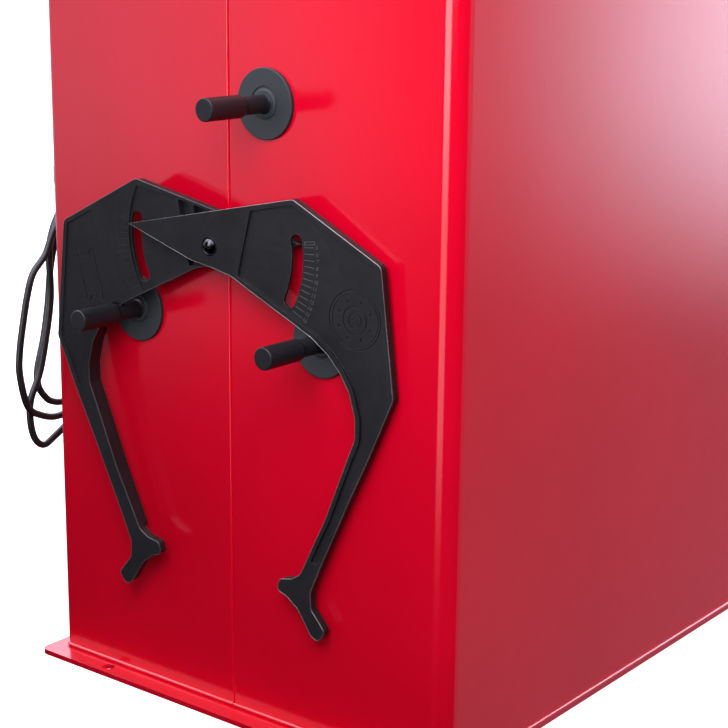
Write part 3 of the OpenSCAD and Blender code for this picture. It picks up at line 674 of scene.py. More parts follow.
CABLE = rubbery("cable_sheath", (0.010, 0.010, 0.011), (0.018, 0.018, 0.020), 0.36, 0.008)
SCREW = black_chrome("black_chrome")
LIT_BAR = lit("lit_bar", (1.0, 0.04, 0.02), 3.5)
UNLIT_BAR = lit("unlit_bar", (0.10, 0.01, 0.01), 0.05)
# Lighter plastics for the arms' edge bevels and beads: painted highlights along the rims, dimmer on the
# rear arm.
HIGHLIGHT_PAINT = moulded("caliper_painted_highlight", (0.045, 0.045, 0.05), (0.09, 0.09, 0.097), 0.24, 0.004, shine=0.8)
DIM_REAR_HIGHLIGHT = moulded("caliper_dim_painted_highlight", (0.024, 0.024, 0.028), (0.042, 0.042, 0.047), 0.34, 0.004)
# Lighter plastic for the front scale marks: a painted highlight on the raised ticks and numbers.
SCALE = moulded("scale_marks", (0.035, 0.035, 0.04), (0.06, 0.06, 0.065), 0.4, 0.005)


# ---- cabinet

CAB_W, CAB_D, CAB_H = 560, 465, 760
LEFT, FRONT, BACK = -CAB_W / 2, -CAB_D / 2, CAB_D / 2
SHEET = 1.5
SHELL_Z = 8.5
FRONT_R, REAR_R = 17, 8
SEAM_Y = 6.2
SEAM_GAP = 1.2
SEAM_ROLL = 1.45


def shell_path(side, inset, end):
    """Plan of one shell's face, from its left seam round to its right seam."""
    bend = FRONT_R if side < 0 else REAR_R
    half_w, depth = CAB_W / 2, CAB_D / 2
    corner_y = depth - bend
    left = arc((-half_w + bend, corner_y), bend - inset, 180, 90, 14)
    right = arc((half_w - bend, corner_y), bend - inset, 90, 0, 14)
    path = [(-half_w + inset, end)] + left + right + [(half_w - inset, end)]
    return [(x, side * y) for x, y in path]


def seam_end(side):
    """Where a shell ends at its edge of the joint, from the middle towards the shell's own side."""
    return side * SEAM_Y + SEAM_GAP / 2


def shell_section(side):
    """Closed plan of the folded sheet, with rolled edges along the seams."""
    end = seam_end(side)
    outer = shell_path(side, 0, end + SEAM_ROLL)
    inner = shell_path(side, SHEET, end)
    half_w = CAB_W / 2
    roll = [(half_w - SEAM_ROLL * (1 - cos(radians(a))), end + SEAM_ROLL * (1 - sin(radians(a))))
            for a in (15, 35, 55, 75)]
    right_roll = [(x, side * y) for x, y in roll]
    left_roll = [(-x, y) for x, y in reversed(right_roll)]
    return left_roll + outer + right_roll + list(reversed(inner))


def shell(name, side):
    """One of the two folded sheets, with its openings and the paint-filled joint at its foot."""
    tools = [drill(48, at(CAB_W / 2, 0, SPINDLE_Z) @ Z_TO_X)]
    if side < 0:
        tools.append(drill(14.2, at(CAB_W / 2, GAUGE_Y, GAUGE_Z) @ Z_TO_X))
    else:
        tools.append(block((26, 60, 18), (-180, BACK, 560)))
        tools.append(drill(8.3, at(-200, BACK, 120) @ Z_TO_BACK))
    body = cut(prism(shell_section(side), SHELL_Z, CAB_H), *tools)
    foot = shell_path(side, -0.2, seam_end(side))
    bead = tube([Vector((x, y, SHELL_Z - 1.4)) for x, y in foot], 1.7)
    piece(name + "_folded", joined(body, bead), name)


def cross_head_screw(radius, dome):
    """Domed screw head with a cross recess, standing on z = 0."""
    sphere_r = (radius ** 2 + dome ** 2) / (2 * dome)
    profile = [(radius * 0.96, 0), (radius, 0.3)]
    for i in range(1, 8):
        r = radius * (1 - i / 7)
        profile.append((r, 0.3 + (sphere_r ** 2 - r ** 2) ** 0.5 - (sphere_r - dome)))
    head = turned([(0, 0)] + profile, 40)
    slot = block((radius * 1.3, radius * 0.36, dome * 1.3), (0, 0, dome + 0.2), radius * 0.1)
    other = placed(slot.copy(), turn(90, "Z"))
    return cut(head, slot, other)


def shell_screws():
    washer = turned([(0, 0), (5, 0), (5, 0.8), (4.6, 1.2), (0, 1.2)], 40)
    screw = joined(washer, placed(cross_head_screw(3.9, 1.4), at(0, 0, 1.2)))
    spots = [at(x, BACK, z) @ Z_TO_BACK for x in (-210, 0, 210) for z in (60, 630)]
    piece("shell_screws_cross_head", copies(screw, spots), "shell_screws")


# ---- pegs

PEG_LEN = 76.6
PEG_R = 9.6
NECK_R = 7.68
DISC_R = 30
PEGS = {"peg_top": (-37.1, 560), "peg_rear": (117.1, 365.4), "peg_front": (-98.5, 365.4)}


def peg(node, y, z):
    """Moulded peg: a matt foot disc with ring grooves and a satin, waisted pin."""
    disc = lathe([(0, 0), (DISC_R, 0), (DISC_R, 4), (14.7, 4), (14.7, 3.1), (12.6, 3.1), (12.6, 4),
                  (10.9, 4.5), (0, 4.5)], [0, 0.8, 0.9, 0.25, 0.2, 0.2, 0.25, 0.5, 0], 96)
    pin = lathe([(0, 4), (NECK_R + 1.4, 4), (NECK_R, 6.5), (NECK_R, 30.5), (PEG_R, 35.5),
                 (PEG_R, PEG_LEN), (0, PEG_LEN)], [0, 0, 1.5, 3, 3, 1.3, 0], 64)
    place = at(LEFT, y, z) @ Z_TO_LEFT
    parts = joined(tinted(disc, 1), tinted(pin, 0))
    piece(node + "_moulded", placed(parts, place), node, paints=(PAINTS["peg_plastic"], PEG_DISC))


# ---- caliper

ARM_T = 8.5
ARM_GAP = 0.1
PIVOT_HOLE_R, SADDLE_R = 4.05, 10.3
PIVOT = (LEFT - 30.2, FRONT + 234.9, 439.3)
SLOT_R, SLOT_W = 89.5, 11.5
SLOT_FROM, SLOT_TO = 8.9, -24.6
SCALE_ARC_R = 96.5
RECESS_DEPTH, SECTOR_DEPTH, FIELD_DEPTH, POCKET_DEPTH = 3, 2.5, 2, 7.4
CUT_PAST = 2  # how far a cutting tool reaches past the moulding
EDGE_R = 0.5
LEG_DEPTH = 8
CALIPER = at(*PIVOT) @ turn(4.97, "Z") @ turn(-1.15, "Y") @ turn(0.56, "X")
# From an arm's flat drawing (outwards, up, towards the viewer) to the caliper's own axes.
DRAWING = turn(-90, "Z") @ turn(90, "X")
FRONT_ARM = CALIPER @ DRAWING
REAR_ARM = CALIPER @ at(2 * ARM_T + ARM_GAP, 0, 0) @ turn(180, "Z") @ DRAWING


def arm_outline():
    """Outline of one arm: pointer, shoulder, leg and hooked toe."""
    return rounded_points([
        ((-88.5, 10.2), 0), ((87, 48.4), 9), ((173, 2.6), 7), ((185.6, -106), 9),
        ((162.4, -159.8), 60), ((143.8, -199.6), 60), ((113.8, -267.2), 30), ((103.5, -292), 10),
        ((104.4, -307), 8), ((119.5, -325.5), 6), ((111.5, -335.5), 6), ((104.5, -331), 4),
        ((91, -309.5), 10), ((79, -300), 6), ((68.8, -296.5), 5), ((71.5, -286), 5),
        ((84, -283.6), 5), ((93.5, -277.5), 10), ((120, -221), 60), ((142, -163.5), 40),
        ((149.2, -146), 16), ((149.4, -128), 22), ((143.4, -106), 24), ((134, -90.5), 20),
        ((122, -77), 20), ((105, -64.5), 20), ((86, -54.7), 20), ((42.8, -33.3), 60),
        ((23.5, -23.2), 20), ((3, -18.2), 14), ((-20, -14.3), 30)], steps=5)


def scale_slot():
    """Banana-shaped slot that shows the scale."""
    half = SLOT_W / 2
    start = [SLOT_R * cos(radians(SLOT_FROM)), SLOT_R * sin(radians(SLOT_FROM))]
    end = [SLOT_R * cos(radians(SLOT_TO)), SLOT_R * sin(radians(SLOT_TO))]
    return (arc((0, 0), SLOT_R + half, SLOT_TO, SLOT_FROM, 16)
            + arc(start, half, SLOT_FROM, SLOT_FROM + 180, 10)[1:-1]
            + arc((0, 0), SLOT_R - half, SLOT_FROM, SLOT_TO, 16)
            + arc(end, half, SLOT_TO + 180, SLOT_TO + 360, 10)[1:-1])


def front_recess():
    """Sunk floor on the front of the shoulder, inside the raised rim."""
    return rounded_points([((43.6, 35.2), 2), ((86, 44.6), 7), ((169.6, 0.8), 5), ((181.6, -105.6), 8),
              ((159.5, -157.5), 40), ((140.3, -199.5), 60), ((111.5, -264.5), 3), ((103.5, -264), 3),
              ((123.8, -221), 60), ((145.5, -164.5), 40), ((153.2, -147), 18), ((153.6, -127.6), 22),
              ((147, -104), 24), ((137, -87.5), 20), ((124.5, -73.5), 20), ((107, -60.6), 20),
              ((88, -51.2), 20), ((29.4, -22.2), 2)])


def sector_recess():
    """Sunk fan on the back, between the hub and the scale's arc."""
    return arc((0, 0), SCALE_ARC_R, -33, 26.3, 24) + [(41.3, 36.6), (31.4, -23)]


def hub_pockets():
    """Deep pockets beside the hub, split by ribs."""
    upper = [(40.6, 35.6), (25.2, 32.3), (25.2, 18.5), (37.8, 18.5)]
    inner = [(23, 32.2), (4, 28), (10, 20.5), (23, 18.5)]
    lower = [(31.4, -9), (29.6, -22.4), (24, -20.8), (21.8, -9)]
    return [rounded(pocket, 0.8) for pocket in (upper, inner, lower)]


def picture_field():
    """Sunk field on the back of the shoulder, outside the scale; it holds the rim drawing."""
    return rounded_points([((139, 16.5), 1), ((169.5, 0.6), 4), ((181.4, -105.4), 8), ((160, -153), 30),
              ((154, -141), 4), ((153.4, -128), 12), ((147, -105), 12), ((130, -77), 6),
              ((112, -65.4), 2), ((118, -48), 20)])


def leg_rib():
    """Deeper side of the rear leg towards the cabinet, where the real arm is thicker."""
    points = [((162, -160), 60), ((143.4, -199.8), 60), ((113.4, -267.4), 12), ((107, -283), 5),
              ((96, -279), 8), ((120.5, -221), 60), ((142.5, -163.7), 40), ((149.7, -146), 8),
              ((149.8, -128), 22), ((143.9, -106), 20), ((137, -94), 4), ((183, -96), 8)]
    return bevelled(prism(rounded_points(points), -0.4, LEG_DEPTH), 0.8)


def arm_solid(saddle):
    """The bare moulding in its flat drawing: front at 0, back at -ARM_T."""
    outline = prism(arm_outline(), -ARM_T, 0)
    behind = -ARM_T - CUT_PAST
    tools = [
        prism(scale_slot(), behind, CUT_PAST),
        prism(circle(saddle, SADDLE_R), behind, CUT_PAST),
        prism(front_recess(), -RECESS_DEPTH, CUT_PAST),
        prism(sector_recess(), behind, -ARM_T + SECTOR_DEPTH),
        prism(picture_field(), behind, -ARM_T + FIELD_DEPTH),
        prism(circle((0, 0), PIVOT_HOLE_R, 40), behind, CUT_PAST),
    ]
    tools += [prism(pocket, behind, -ARM_T + POCKET_DEPTH) for pocket in hub_pockets()]
    # The bevel faces get the lighter paint in slot 1: a painted highlight along the rims.
    return bevelled(cut(outline, *tools), 0.9, HIGHLIGHT_PAINT)


def scale_marks(face, height, outward):
    """Moulded ticks and numbers beside the slot; outward is +1 when they face the viewer."""
    low, high = (face - 0.4, face + height) if outward > 0 else (face - height, face + 0.4)
    parts = []
    marks, pitch, first = 12, 3.05, 5.6
    for i in range(marks):
        degrees = first - i * pitch
        angle = radians(degrees)
        ends = [(r * cos(angle), r * sin(angle)) for r in (97.2, 106.4)]
        parts.append(strip(ends, 0.5, low, high))
        number = numeral(str(5 + i), 4.6, height + 0.4)
        if outward < 0:
            placed(number, turn(180, "Y"))
        spot = at(110 * cos(angle), 110 * sin(angle), (low + high) / 2)
        parts.append(placed(number, spot @ turn(degrees - first, "Z")))
    zero_box = [(97.4, 11.9), (107.4, 13.1), (107.1, 15.5), (97.1, 14.3)]
    parts.append(groove(zero_box, 0.5, low, high))
    return joined(*parts)


def wheel_pictogram(face):
    """Sunken drawing of a plain wheel: rings, hub and bolt holes."""
    centre = (146.8, -44.9)
    low, high = face - 1.1, face + CUT_PAST
    tools = [ring(centre, radius, width, low, high)
             for radius, width in ((25, 1.5), (22.4, 0.7), (11.4, 1.4), (6, 1.2))]
    for count, first, orbit, hole_r, steps in ((8, 22.5, 16.6, 1.7, 16), (5, 90, 2.9, 0.7, 12)):
        for spot in arc(centre, orbit, first, first + 360, count)[:-1]:
            tools.append(prism(circle(spot, hole_r, steps), low, high))
    return joined(*tools)


def rim_pictogram(face):
    """Sunken line drawing of a rim's cross-section."""
    outline = [(161.5, -23), (156.5, -23.5), (155.5, -28), (147, -27), (145.5, -22.5), (141, -19.5),
               (139.5, -26.5), (136.5, -41), (132, -51.5), (130, -66), (135.5, -67), (137, -63),
               (144.5, -64.5), (146, -69), (149.5, -66.5), (153, -52.5), (157, -40), (159.5, -29)]
    return groove(outline, 1.2, face - 4, face + 0.9)


def pointer_ribs(low, high):
    """Hair-thin ribs left by the mould on the back of the scale field."""
    parts = []
    for radius in (109, 118, 121.5):
        points = arc((0, 0), radius, 12, -33, 14)
        parts.append(strip(points, 0.5, low, high))
    return joined(*parts)


def edge_bead(face):
    """Thin bead along the corner of the moulding, which carries a painted highlight line."""
    return tube([Vector((x, y, face)) for x, y in arm_outline()], EDGE_R, closed=True)


def caliper():
    floor_z = -RECESS_DEPTH
    front = cut(arm_solid((102.5, -73)), wheel_pictogram(floor_z))
    front_marks = scale_marks(floor_z, 0.5, 1)
    rear = cut(arm_solid((113.2, -75.3)), wheel_pictogram(floor_z),
               rim_pictogram(-ARM_T + FIELD_DEPTH))
    rear = joined(rear, leg_rib())
    rear_marks = joined(scale_marks(-ARM_T, 0.2, -1), scale_marks(floor_z, 0.5, 1),
                        pointer_ribs(-ARM_T - 0.2, -ARM_T + 0.3))
    # The arms' second paint and the edge beads carry painted highlights, dimmer on the rear arm.
    arm_paints = (PAINTS["peg_plastic"], HIGHLIGHT_PAINT)
    piece("caliper_front_arm_moulded", placed(front, FRONT_ARM), "caliper_front_arm", paints=arm_paints)
    piece("caliper_rear_arm_moulded", placed(rear, REAR_ARM), "caliper_rear_arm", paints=arm_paints)
    piece("caliper_front_scale", placed(front_marks, FRONT_ARM), "caliper_front_arm", paints=(SCALE,))
    piece("caliper_rear_scale", placed(rear_marks, REAR_ARM), "caliper_rear_arm")
    piece("caliper_front_edge", placed(edge_bead(-0.4), FRONT_ARM), "caliper_front_arm", paints=(HIGHLIGHT_PAINT,))
    piece("caliper_rear_edge", placed(edge_bead(0.4 - ARM_T), REAR_ARM), "caliper_rear_arm",
          paints=(DIM_REAR_HIGHLIGHT,))
    pivot_screw()


def pivot_screw():
    """Dark domed cross-head screw in a shallow collar, with its nut behind the rear arm."""
    stack = 2 * ARM_T + ARM_GAP
    collar = turned(rounded([(4, 0.05), (8.2, 0.05), (8.2, 0.55), (7, 0.55), (6.8, 0.3), (4, 0.3)],
                            0.15), 48, closed=True)
    head = placed(cross_head_screw(6.5, 3.1), at(0, 0, 0.3))
    stem = turned([(0, -stack - 5), (3.9, -stack - 5), (4, -stack - 4.4), (4, 0.3), (0, 0.3)], 32)
    nut = prism(circle((0, 0), 7.5, 6), -stack - 5.2, -stack - 1.2, [circle((0, 0), 3.95, 32)])
    washer = prism(circle((0, 0), 8, 48), -stack - 1.2, -stack - 0.05, [circle((0, 0), 4, 32)])
    mesh = joined(tinted(joined(collar, head, stem), 0), tinted(joined(nut, washer), 1))
    piece("caliper_pivot_screw", placed(mesh, FRONT_ARM), "caliper_pivot", bevel=0.12,
          paints=(SCREW, PAINTS["zinc_plate"]))


# ---- mains cable

CABLE_R = 3.4
HOOK_X, HOOK_Z = -232, 452
HOOK_OUT = 44
SIDE_SHIFT = 0.887  # turns further back hang this much further right


def power_cable():
    """One length of cable from the gland: up, three hanging turns over the hook, then the plug."""
    right_side = [(-212, 262), (-204, 320), (-214, 400), (-226, 446)]
    turns = [
        (252.5, [(-240, 443), (-258, 416), (-268, 397), (-284, 381), (-292, 361), (-299, 333),
                 (-304, 308), (-305, 285), (-297, 253), (-282, 241), (-259, 235), (-230, 242)]),
        (260, [(-241, 446), (-256, 422), (-263, 398), (-263, 354), (-270, 317), (-280, 281),
               (-293, 255), (-294, 232), (-289, 215), (-279, 207), (-267, 211), (-240, 228)]),
        (267.5, [(-240, 443), (-253, 412), (-262, 380), (-267, 345), (-274, 312), (-283, 283),
                 (-283, 266), (-276, 254), (-266, 246), (-248, 243), (-222, 250)]),
    ]
    path = [(-200, 226, 120), (-200, 246, 120), (-200, 254, 124), (-203, 252, 150),
            (-206, 243, 190)]
    for number, (y, left_side) in enumerate(turns):
        shift = SIDE_SHIFT * (y - 257.5)
        path += [(x + 1.5 * number, y - 3, z) for x, z in right_side]
        path.append((HOOK_X, y, HOOK_Z + 8))
        path += [(x + shift, y, z) for x, z in left_side]
    path += [(-190, 268, 266), (-174, 267.5, 292), (-172, 267.5, 310), (-172, 267.5, 324)]
    mesh = tube(smooth_path([Vector(p) for p in path], 6), CABLE_R, sides=5)
    piece("power_cable_coil", mesh, "power_cable", paints=(CABLE,))


def cable_hook():
    plate = lathe([(0, 0), (14, 0), (14, 3), (0, 3)], [0, 0.4, 1, 0])
    plate = placed(plate, at(HOOK_X, BACK, HOOK_Z) @ Z_TO_BACK)
    out = HOOK_OUT
    path = [(0, 1, 0), (0, out - 12, 0), (0, out - 4, 1.5), (0, out - 0.5, 7), (0, out, 14),
            (0, out, 22)]
    bar = tube([p + Vector((HOOK_X, BACK, HOOK_Z)) for p in smooth_path(path, 5)], 4, sides=5)
    ball = turned(arc((0, 0), 4, -90, 90, 8), 32)
    piece("cable_hook_bent", joined(plate, bar, placed(ball, at(HOOK_X, BACK + out, HOOK_Z + 22))),
          "cable_hook")


def power_plug():
    """Moulded plug: ribbed strain relief, gripped body and two round pins."""
    profile = [(0, 0), (5.6, 0)]
    for rib in range(4):
        z, r = 0.8 + 3.1 * rib, 6.6 + 0.55 * rib
        profile += [(r, z), (r, z + 1.9), (r - 1.3, z + 2.3), (r - 1.3, z + 2.9)]
    profile += [(9, 13.6), (15.4, 15), (17, 18), (16, 25), (16, 31), (17, 37.5), (15.8, 40), (0, 40)]
    body = turned(rounded(profile, 0.5, closed=False, steps=3), 64)
    pin = lathe([(0, 38), (2.4, 38), (2.4, 59), (0, 59)], [0, 0, 1.2, 0], 32)
    pins = copies(pin, [at(x, 0, 0) for x in (-9.5, 9.5)])
    mesh = placed(joined(tinted(body, 0), tinted(pins, 1)), at(-172, 267.5, 320))
    piece("power_plug_moulded", mesh, "power_plug", paints=(CABLE, PAINTS["zinc_plate"]))


# ---- spindle side

THREAD = (370, 526)
THREAD_PITCH = 6
SHAFT_R = 18


def thread(start, end, crest, root, pitch):
    """Trapezoidal screw thread along +Z, running out against both ends."""
    around, flanks = 48, ((0.0, root), (0.18, crest), (0.5, crest), (0.68, root))
    turns = int((end - start) / pitch) + 2
    rows = [(start + (k - 1 + part) * pitch, r) for k in range(turns) for part, r in flanks]
    verts, faces = [], []
    for height, r in rows:
        for i in range(around + 1):
            a = 2 * pi * i / around
            z = height + pitch * i / around
            level = min(max(z, start), end)
            radius = r if z == level else root
            verts.append((radius * cos(a), radius * sin(a), level))
    span = around + 1
    for row in range(len(rows) - 1):
        for i in range(around):
            a = row * span + i
            faces.append((a, a + 1, a + span + 1, a + span))
    return mesh_of(verts, faces)


def clamping_shaft():
    """Ground shaft: bearing seat, threaded length, relief groove and a plain pin end."""
    root = SHAFT_R - 1.5
    profile = [(0, -20), (17.5, -20), (17.5, 338), (SHAFT_R, 338), (SHAFT_R, 368), (root, 370),
               (root, 530), (SHAFT_R, 530), (SHAFT_R, 558), (SHAFT_R - 2, 560), (4, 560), (3, 557.5),
               (0, 556)]
    radii = [0, 0.6, 0.3, 0.3, 0.2, 0.2, 0.2, 0.2, 0.4, 0.4, 0.3, 0.3, 0]
    shaft = turned(rounded(profile, radii, closed=False, steps=2), 96)
    screw = thread(*THREAD, SHAFT_R, root - 0.05, THREAD_PITCH)
    piece("clamping_shaft_threaded", placed(joined(shaft, screw), at(0, 0, SPINDLE_Z) @ Z_TO_X),
          "spindle_shaft", sharp=20)


def gauge_rod():
    """Bright rod with a ring cut every ten millimetres and a rounded end."""
    profile = [(0, -200), (8, -200)]
    for x in range(130, 310, 10):
        profile += [(8, x - 0.35), (7.65, x), (8, x + 0.35)]
    profile += [(8, 320.6), (6.6, 322), (0, 322)]
    place = at(0, GAUGE_Y, GAUGE_Z) @ Z_TO_X
    piece("gauge_rod_marked", placed(turned(profile, 48), place), "gauge_rod")


def gauge_knob():
    """Small knurled clamping knob on its stem."""
    teeth = 24
    valleys, tips = circle((0, 0), 10.9, 2 * teeth), circle((0, 0), 11.9, 2 * teeth)
    rim = [point for i in range(0, 2 * teeth, 2) for point in (valleys[i], tips[i + 1])]
    head = prism(rim, 8.6, 13.2)
    cap = lathe([(0, 13), (9.6, 13), (9.6, 14), (0, 14)], [0, 0, 0.6, 0])
    stem = lathe([(0, 0), (5, 0), (5, 7), (9, 8.7), (0, 8.7)], [0, 0.4, 1, 0.3, 0])
    place = at(305.9, GAUGE_Y, GAUGE_Z + 120) @ Z_TO_LEFT
    piece("gauge_knob_knurled", placed(joined(head, cap, stem), place), "gauge_knob", sharp=25)


# ---- wheel guard

TUBE_R = 17
HOOD_R, HOOD_T, HOOD_LIP = 420, 4, 34
HOOD_X, HOOD_W = 335, 410
HOOD_FROM, HOOD_TO = 12, 118
CROSS_R, CROSS_A = 447, 112


def around_spindle(x, radius, degrees):
    """Point at an angle about the spindle: 0 is towards the front, 90 straight up."""
    a = radians(degrees)
    return Vector((x, -radius * cos(a), SPINDLE_Z + radius * sin(a)))


def guard_arm():
    """One bent tube from the hinge up and across the hood, with domed end plugs."""
    hinge = Vector((310, 300, 700))
    top = around_spindle(310, CROSS_R, CROSS_A)
    corners = [Vector((116, 300, 700)), hinge, top, top + Vector((HOOD_W - 2, 0, 0))]
    path = [Vector(p) for p in rounded(corners, [0, 46, 46, 0], closed=False, steps=14)]
    plug = lathe([(0, 0), (TUBE_R, 0), (TUBE_R, 1), (TUBE_R - 2, 2), (0, 2)], [0, 0, 0.4, 0.8, 0])
    ends = copies(plug, [at(*corners[0]) @ Z_TO_LEFT, at(*corners[-1]) @ Z_TO_X])
    mesh = joined(tinted(tube(path, TUBE_R, sides=8), 0), tinted(ends, 1))
    piece("guard_arm_bent", mesh, "guard_arm",
          paints=(PAINTS["black_metal"], PAINTS["black_moulding"]))


def hood_section():
    """Closed section of the hood, (x, radius): pressed beads across, hemmed side flanges."""
    outer = HOOD_R + HOOD_T
    far = HOOD_X + HOOD_W
    low = HOOD_R - HOOD_LIP
    beads = []
    for middle in (HOOD_X + HOOD_W * part for part in (0.2, 0.5, 0.8)):
        beads += [(middle - 12, outer), (middle - 6, outer - 4), (middle + 6, outer - 4),
                  (middle + 12, outer)]
    hem = [(7, low), (8.4, low + 5), (7, low + 9), (3.5, low + 9), (3.5, outer - 2.5)]
    left_hem = [(HOOD_X + x, r) for x, r in reversed(hem)]
    right_hem = [(far - x, r) for x, r in hem]
    inside = [(x, r - 2.5) for x, r in reversed(beads)]
    points = ([(HOOD_X + 1.5, low), (HOOD_X, low + 2), (HOOD_X, outer)] + beads
              + [(far, outer), (far, low + 2), (far - 1.5, low)] + right_hem + inside + left_hem)
    return rounded(points, 2.0, steps=3)


def swept_around_spindle(section, start, end, steps):
    """Closed (x, radius) section swept about the spindle between two angles."""
    verts = [around_spindle(x, r, start + (end - start) * k / steps)
             for k in range(steps + 1) for x, r in section]
    count = len(section)
    faces = [tuple(range(count)), tuple(range(steps * count, (steps + 1) * count))[::-1]]
    for k in range(steps):
        for i in range(count):
            a, b = k * count + i, k * count + (i + 1) % count
            faces.append((a, b, b + count, a + count))
    return mesh_of(verts, faces)


def guard_hood():
    mesh = swept_around_spindle(hood_section(), HOOD_FROM, HOOD_TO, 96)
    piece("guard_hood_pressed", mesh, "guard_hood", sharp=40)


# ---- console

SLOPE = at(0, 139, 898.04) @ turn(-23.72, "X")


def segment_digit(width, height, bar, lit_bars):
    """Lit and unlit bars of a seven-bar digit, flat in XZ."""
    half, side, point = height / 2, width / 2, bar / 2
    spots = [(0, half, 0), (side, half / 2, 90), (side, -half / 2, 90), (0, -half, 0),
             (-side, -half / 2, 90), (-side, half / 2, 90), (0, 0, 0)]
    parts = []
    for number, (x, z, degrees) in enumerate(spots):
        end = ((half if degrees else width) - bar) / 2
        outline = [(-end, 0), (point - end, point), (end - point, point),
                   (end, 0), (end - point, -point), (point - end, -point)]
        bar_mesh = placed(prism(outline, 0, 0.5), at(x, 0, z) @ turn(90, "X") @ turn(degrees, "Z"))
        parts.append(tinted(bar_mesh, 2 if number in lit_bars else 3))
    return joined(*parts)


def display_board():
    """Circuit board on edge with two blocks of three red digits behind the lens."""
    board_holes = [circle((x, z), 1.8, 16) for x in (-162, 162) for z in (-38, 38)]
    board = prism(box_outline(340, 90, 3), -0.8, 0.8, board_holes)
    parts = [tinted(placed(board, at(-50, 15, 10) @ turn(90, "X")), 0)]
    for block_x in (-130, 30):
        case = bevelled(block((90, 7.2, 36), (block_x, 10.5, 22)), 0.5)
        parts.append(tinted(case, 1))
        for column in (-28, 0, 28):
            digit = segment_digit(15, 25, 3, lit_bars=range(6))
            parts.append(placed(digit, at(block_x + column, 6.85, 22)))
    piece("display_board_lit", placed(joined(*parts), SLOPE), "display_board",
          paints=(PAINTS["circuit_board"], PAINTS["sensor_plastic"], LIT_BAR, UNLIT_BAR))


# ---- carried-over CAD nodes

# Nodes whose CAD shape stays, by the width of their rounded edges.
CAD_EDGES = {
    0.1: "encoder_disc",
    0.2: "board_pillars spindle_bearings",
    0.3: "base_frame seam_strips power_board",
    0.4: "top_deck machine_shelf keypad encoder_sensor piezo_sensors motor_shaft motor_pulley "
         "drive_belt gauge_bushes guard_bushes",
    0.5: "display_lens spindle_pulley motor_bracket gauge_bracket switch_bezel power_rocker "
         "cable_gland",
    0.6: "spindle_bracket wheel_flange centring_cone nut_levers guard_clamps guard_switch",
    0.8: "base_plate console_back start_button stop_button spindle_housing drive_motor "
         "cup_ring quick_nut gauge_pointer guard_bracket",
    1.0: "console_housing",
    1.2: "pressure_cup",
    2.0: "weight_tray",
}

shell("front_shell", -1)
shell("rear_shell", 1)
shell_screws()
for peg_node, (peg_y, peg_z) in PEGS.items():
    peg(peg_node, peg_y, peg_z)
caliper()
power_cable()
cable_hook()
power_plug()
clamping_shaft()
gauge_rod()
gauge_knob()
guard_arm()
guard_hood()
display_board()
for edge, cad_nodes in CAD_EDGES.items():
    for cad_node in cad_nodes.split():
        soften(cad_node, edge)


# ---- stage

def floor():
    """Plain pale floor; the studio world stands in for it in reflections and bounced light."""
    half = 40
    mesh = mesh_of([(-half, -half, 0), (half, -half, 0), (half, half, 0), (-half, half, 0)],
                   [(0, 1, 2, 3)])
    mesh.materials.append(pale_floor("pale_floor"))
    obj = link(bpy.data.objects.new("floor", mesh))
    obj.location.z = -0.0005
    obj.visible_glossy = False
    obj.visible_diffuse = False


def soft_light(name, location, target, width, height, power):
    """Softbox that lights the object; its reflection is painted by the studio world instead."""
    light = bpy.data.lights.new(name, "AREA")
    light.shape = "RECTANGLE"
    light.size, light.size_y = width, height
    light.energy = power
    obj = link(bpy.data.objects.new(name, light))
    obj.location = location
    obj.rotation_euler = (Vector(target) - Vector(location)).to_track_quat("-Z", "Y").to_euler()
    obj.visible_camera = False
    obj.visible_glossy = False


# Lights seen in reflections: middle azimuth, half width, soft border, the two elevations between
# which each fades in (all in degrees) and its strength.
COOL_LIGHTS = [
    (100, 35, 13, -16, -5, 1.1),    # wall behind the left side
    (46, 14, 8, -60, -50, 1.6),     # window behind on the right, seen in the sheet's rear bend
    (-14, 48, 10, -60, -50, 0.3),   # front right of the room: a dim wall,
    (-14, 48, 10, -14, -5, 0.2),    # a haze above it
    (-14, 11, 10, -13, -3, 4.3),    # and a window
    (0, 200, 1, 4, 30, 0.9),        # ceiling,
    (0, 200, 1, 22, 38, 5.0),       # brighter straight above
]
# Tall softbox at the left, seen in the sheet's front bend; its azimuth counts from -X.
LEFT_LIGHTS = [(-6, 14, 5, -20.5, -15, 2.4), (-6, 14, 5, -9, -4, 4.8)]


def reflected(g, angle, height, lights):
    """Sum of the listed lights as seen in a direction."""
    result = None
    for middle, half_width, soft, low, high, strength in lights:
        away = g.math("ABSOLUTE", g.math("SUBTRACT", angle, middle))
        across = g.ramp(away, half_width + soft, half_width, smooth=True)
        upward = g.ramp(height, sin(radians(low)), sin(radians(high)), smooth=True)
        light = g.math("MULTIPLY", g.math("MULTIPLY", across, upward), strength)
        result = light if result is None else g.math("ADD", result, light)
    return result


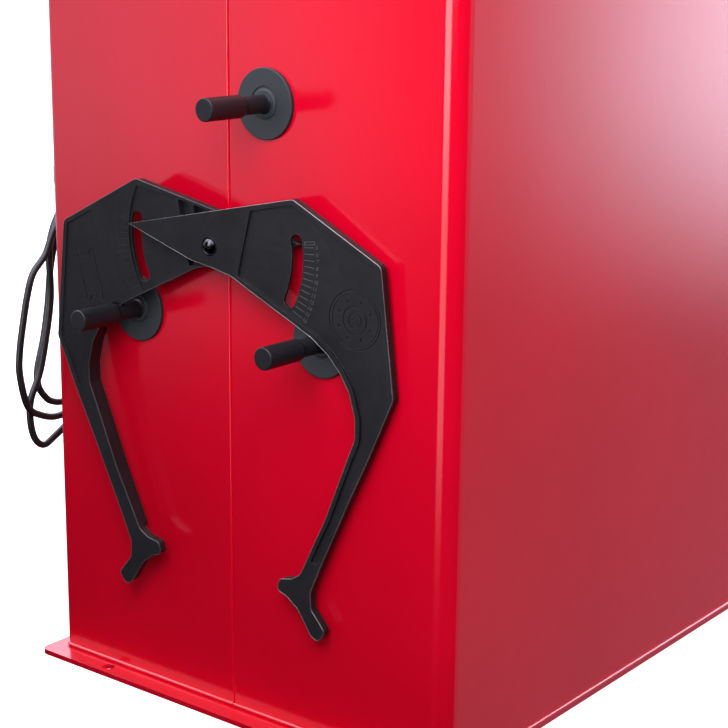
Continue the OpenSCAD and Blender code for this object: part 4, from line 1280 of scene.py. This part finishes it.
def studio_world():
    """White for the camera, soft grey for diffuse light, and a studio's softboxes in mirrors."""
    world = bpy.data.worlds.new("studio")
    bpy.context.scene.world = world
    world.use_nodes = True
    g = Graph(world.node_tree)
    direction = g.node("ShaderNodeTexCoord", {}).outputs["Generated"]
    x, y, height = g.node("ShaderNodeSeparateXYZ", {"Vector": direction}).outputs
    degrees = 180 / pi
    azimuth = g.math("MULTIPLY", g.math("ARCTAN2", y, x), degrees)
    from_left = g.math("MULTIPLY", g.math("ARCTAN2", g.math("MULTIPLY", y, -1),
                                          g.math("MULTIPLY", x, -1)), degrees)
    cool = reflected(g, azimuth, height, COOL_LIGHTS)
    neutral = reflected(g, from_left, height, LEFT_LIGHTS)
    both = g.math("ADD", cool, neutral)
    blue = g.math("ADD", g.math("MULTIPLY", cool, 1.2), neutral)
    glossy_colour = g.node("ShaderNodeCombineXYZ", {"X": both, "Y": both, "Z": blue}).outputs[0]
    diffuse = g.ramp(height, -0.1, 0.3, 0.12, 0.34)
    diffuse_colour = g.node("ShaderNodeCombineXYZ", {axis: diffuse for axis in "XYZ"}).outputs[0]
    rays = g.node("ShaderNodeLightPath", {}).outputs
    unseen = g.mix(rays["Is Glossy Ray"], diffuse_colour, glossy_colour)
    colour = g.mix(rays["Is Camera Ray"], unseen, (1, 1, 1))
    g.feed(g.tree.nodes["Background"].inputs["Color"], colour)


def camera():
    """The photograph's viewpoint, towards the left side and the front."""
    position, heading, down, roll = (-1.3687, -0.9945, 0.6965), -51.94, 13.91, 0.579
    data = bpy.data.cameras.new("camera")
    data.sensor_width = 36
    data.lens = 85.6
    data.clip_end = 30
    obj = link(bpy.data.objects.new("camera", data))
    obj.matrix_world = at(*position) @ turn(heading, "Z") @ turn(90 - down, "X") @ turn(roll, "Z")
    bpy.context.scene.camera = obj


floor()
studio_world()
soft_light("left_softbox", (-0.90, -0.42, 0.86), (-0.28, -0.2, 0.5), 0.6, 0.6, 8.4)
soft_light("front_softbox", (1.1, -2.6, 0.8), (0.1, -0.2, 0.45), 1.2, 1.2, 20)
soft_light("back_softbox", (1.6, 2.6, 2.4), (0.1, 0.1, 0.6), 1.8, 1.8, 60)
camera()
bpy.context.scene.view_settings.view_transform = "Standard"
